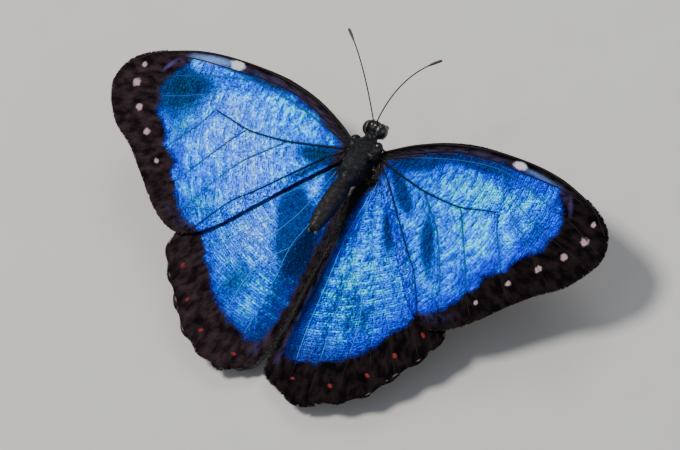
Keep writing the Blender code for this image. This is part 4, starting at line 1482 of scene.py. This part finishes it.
# The view's own directions, and the middle of the wing hinges.
RIGHT = np.array((-0.82155, -0.48545, -0.29898))
UP = np.array((0.30832, -0.8194, 0.48324))
BACK = np.array((-0.47957, 0.30483, 0.82286))
HINGES = np.array((0.0, -HINGE_TO_CENTRE, HINGE_HEIGHT)) * MM
VIEW_OFFSET = (-5.53, -15.26, 751.5)
# Lights: along the view's right, up and back; size, power and tint.
LIGHTS = {"key": (-0.60, 0.54, 0.62, 0.28, 10.2, (1.0, 0.98, 0.95)),
          "fill": (0.80, -0.10, 0.70, 0.70, 2.2, (0.85, 0.92, 1.0)),
          "rim": (0.10, 0.95, 0.35, 0.50, 2.5, (1.0, 1.0, 1.0))}


def facing(spot, back, up):
    """The matrix of something at a spot that looks the opposite way from back."""
    back = unit(back)
    right = unit(np.cross(up, back))
    turn = Matrix((right, np.cross(back, right), back)).transposed().to_4x4()
    return Matrix.Translation(spot) @ turn


def add_camera():
    """Behind the animal's right shoulder, looking down at about 55 degrees."""
    data = bpy.data.cameras.new("view")
    data.lens, data.sensor_width = 190.6, 36.0
    data.clip_start, data.clip_end = 0.02, 20.0
    camera = show(bpy.data.objects.new("view", data))
    across, above, away = VIEW_OFFSET
    spot = HINGES + (across * RIGHT + above * UP + away * BACK) * MM
    camera.matrix_world = facing(spot, BACK, UP)
    bpy.context.scene.camera = camera


def add_lights():
    """A broad soft key from the upper left of the view, a weak fill, a rim light and a dim
    room."""
    world = bpy.data.worlds.new("soft_room")
    world.use_nodes = True
    room = world.node_tree.nodes["Background"].inputs
    room["Color"].default_value = (0.80, 0.88, 1.0, 1)
    room["Strength"].default_value = 0.30
    bpy.context.scene.world = world
    for name, (across, above, near, size, power, tint) in LIGHTS.items():
        data = bpy.data.lights.new(name, "AREA")
        data.shape, data.size, data.energy, data.color = "DISK", size, power, tint
        aim = across * RIGHT + above * UP + near * BACK
        spot = HINGES + np.array((0.0, 0.012, 0.0)) + aim
        show(bpy.data.objects.new(name, data)).matrix_world = facing(spot, aim, (0, 0, 1))


def build():
    """Wings with their scales, veins, fringe and hair; then body, eyes, feelers and the rest."""
    upper, under, vein = upper_material(), under_material(), vein_material()
    skin_paint, hair_paint = coat_material("body_skin", 0.8), coat_material("body_hair", 0.5)
    limb_paint = limb_material()
    seed = 100
    for kind in RIBS:
        for side in SIDES:
            wing = Wing(kind, side)
            add_wing_skin(wing, (upper, under))
            add_veins(wing, vein)
            add_scales(wing, False, upper, seed)
            add_scales(wing, True, under, seed + 1)
            add_fringe(wing, upper, seed + 2)
            add_wing_hair(wing, hair_paint, seed + 3)
            seed += 10
    skin = Skin(skin_paint)
    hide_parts("head", "thorax", "abdomen",
                *[part + "_" + word for part in ("palp", "foreleg", "midleg", "hindleg")
                  for word in SIDES.values()])
    add_body_coat(skin, hair_paint)
    add_eyes(eye_material(), hair_paint)
    add_antennae(limb_paint)
    add_proboscis(limb_paint)
    add_claspers(clasper_material())
    add_claws(limb_paint)


add_camera()
add_lights()
add_floor()
build()
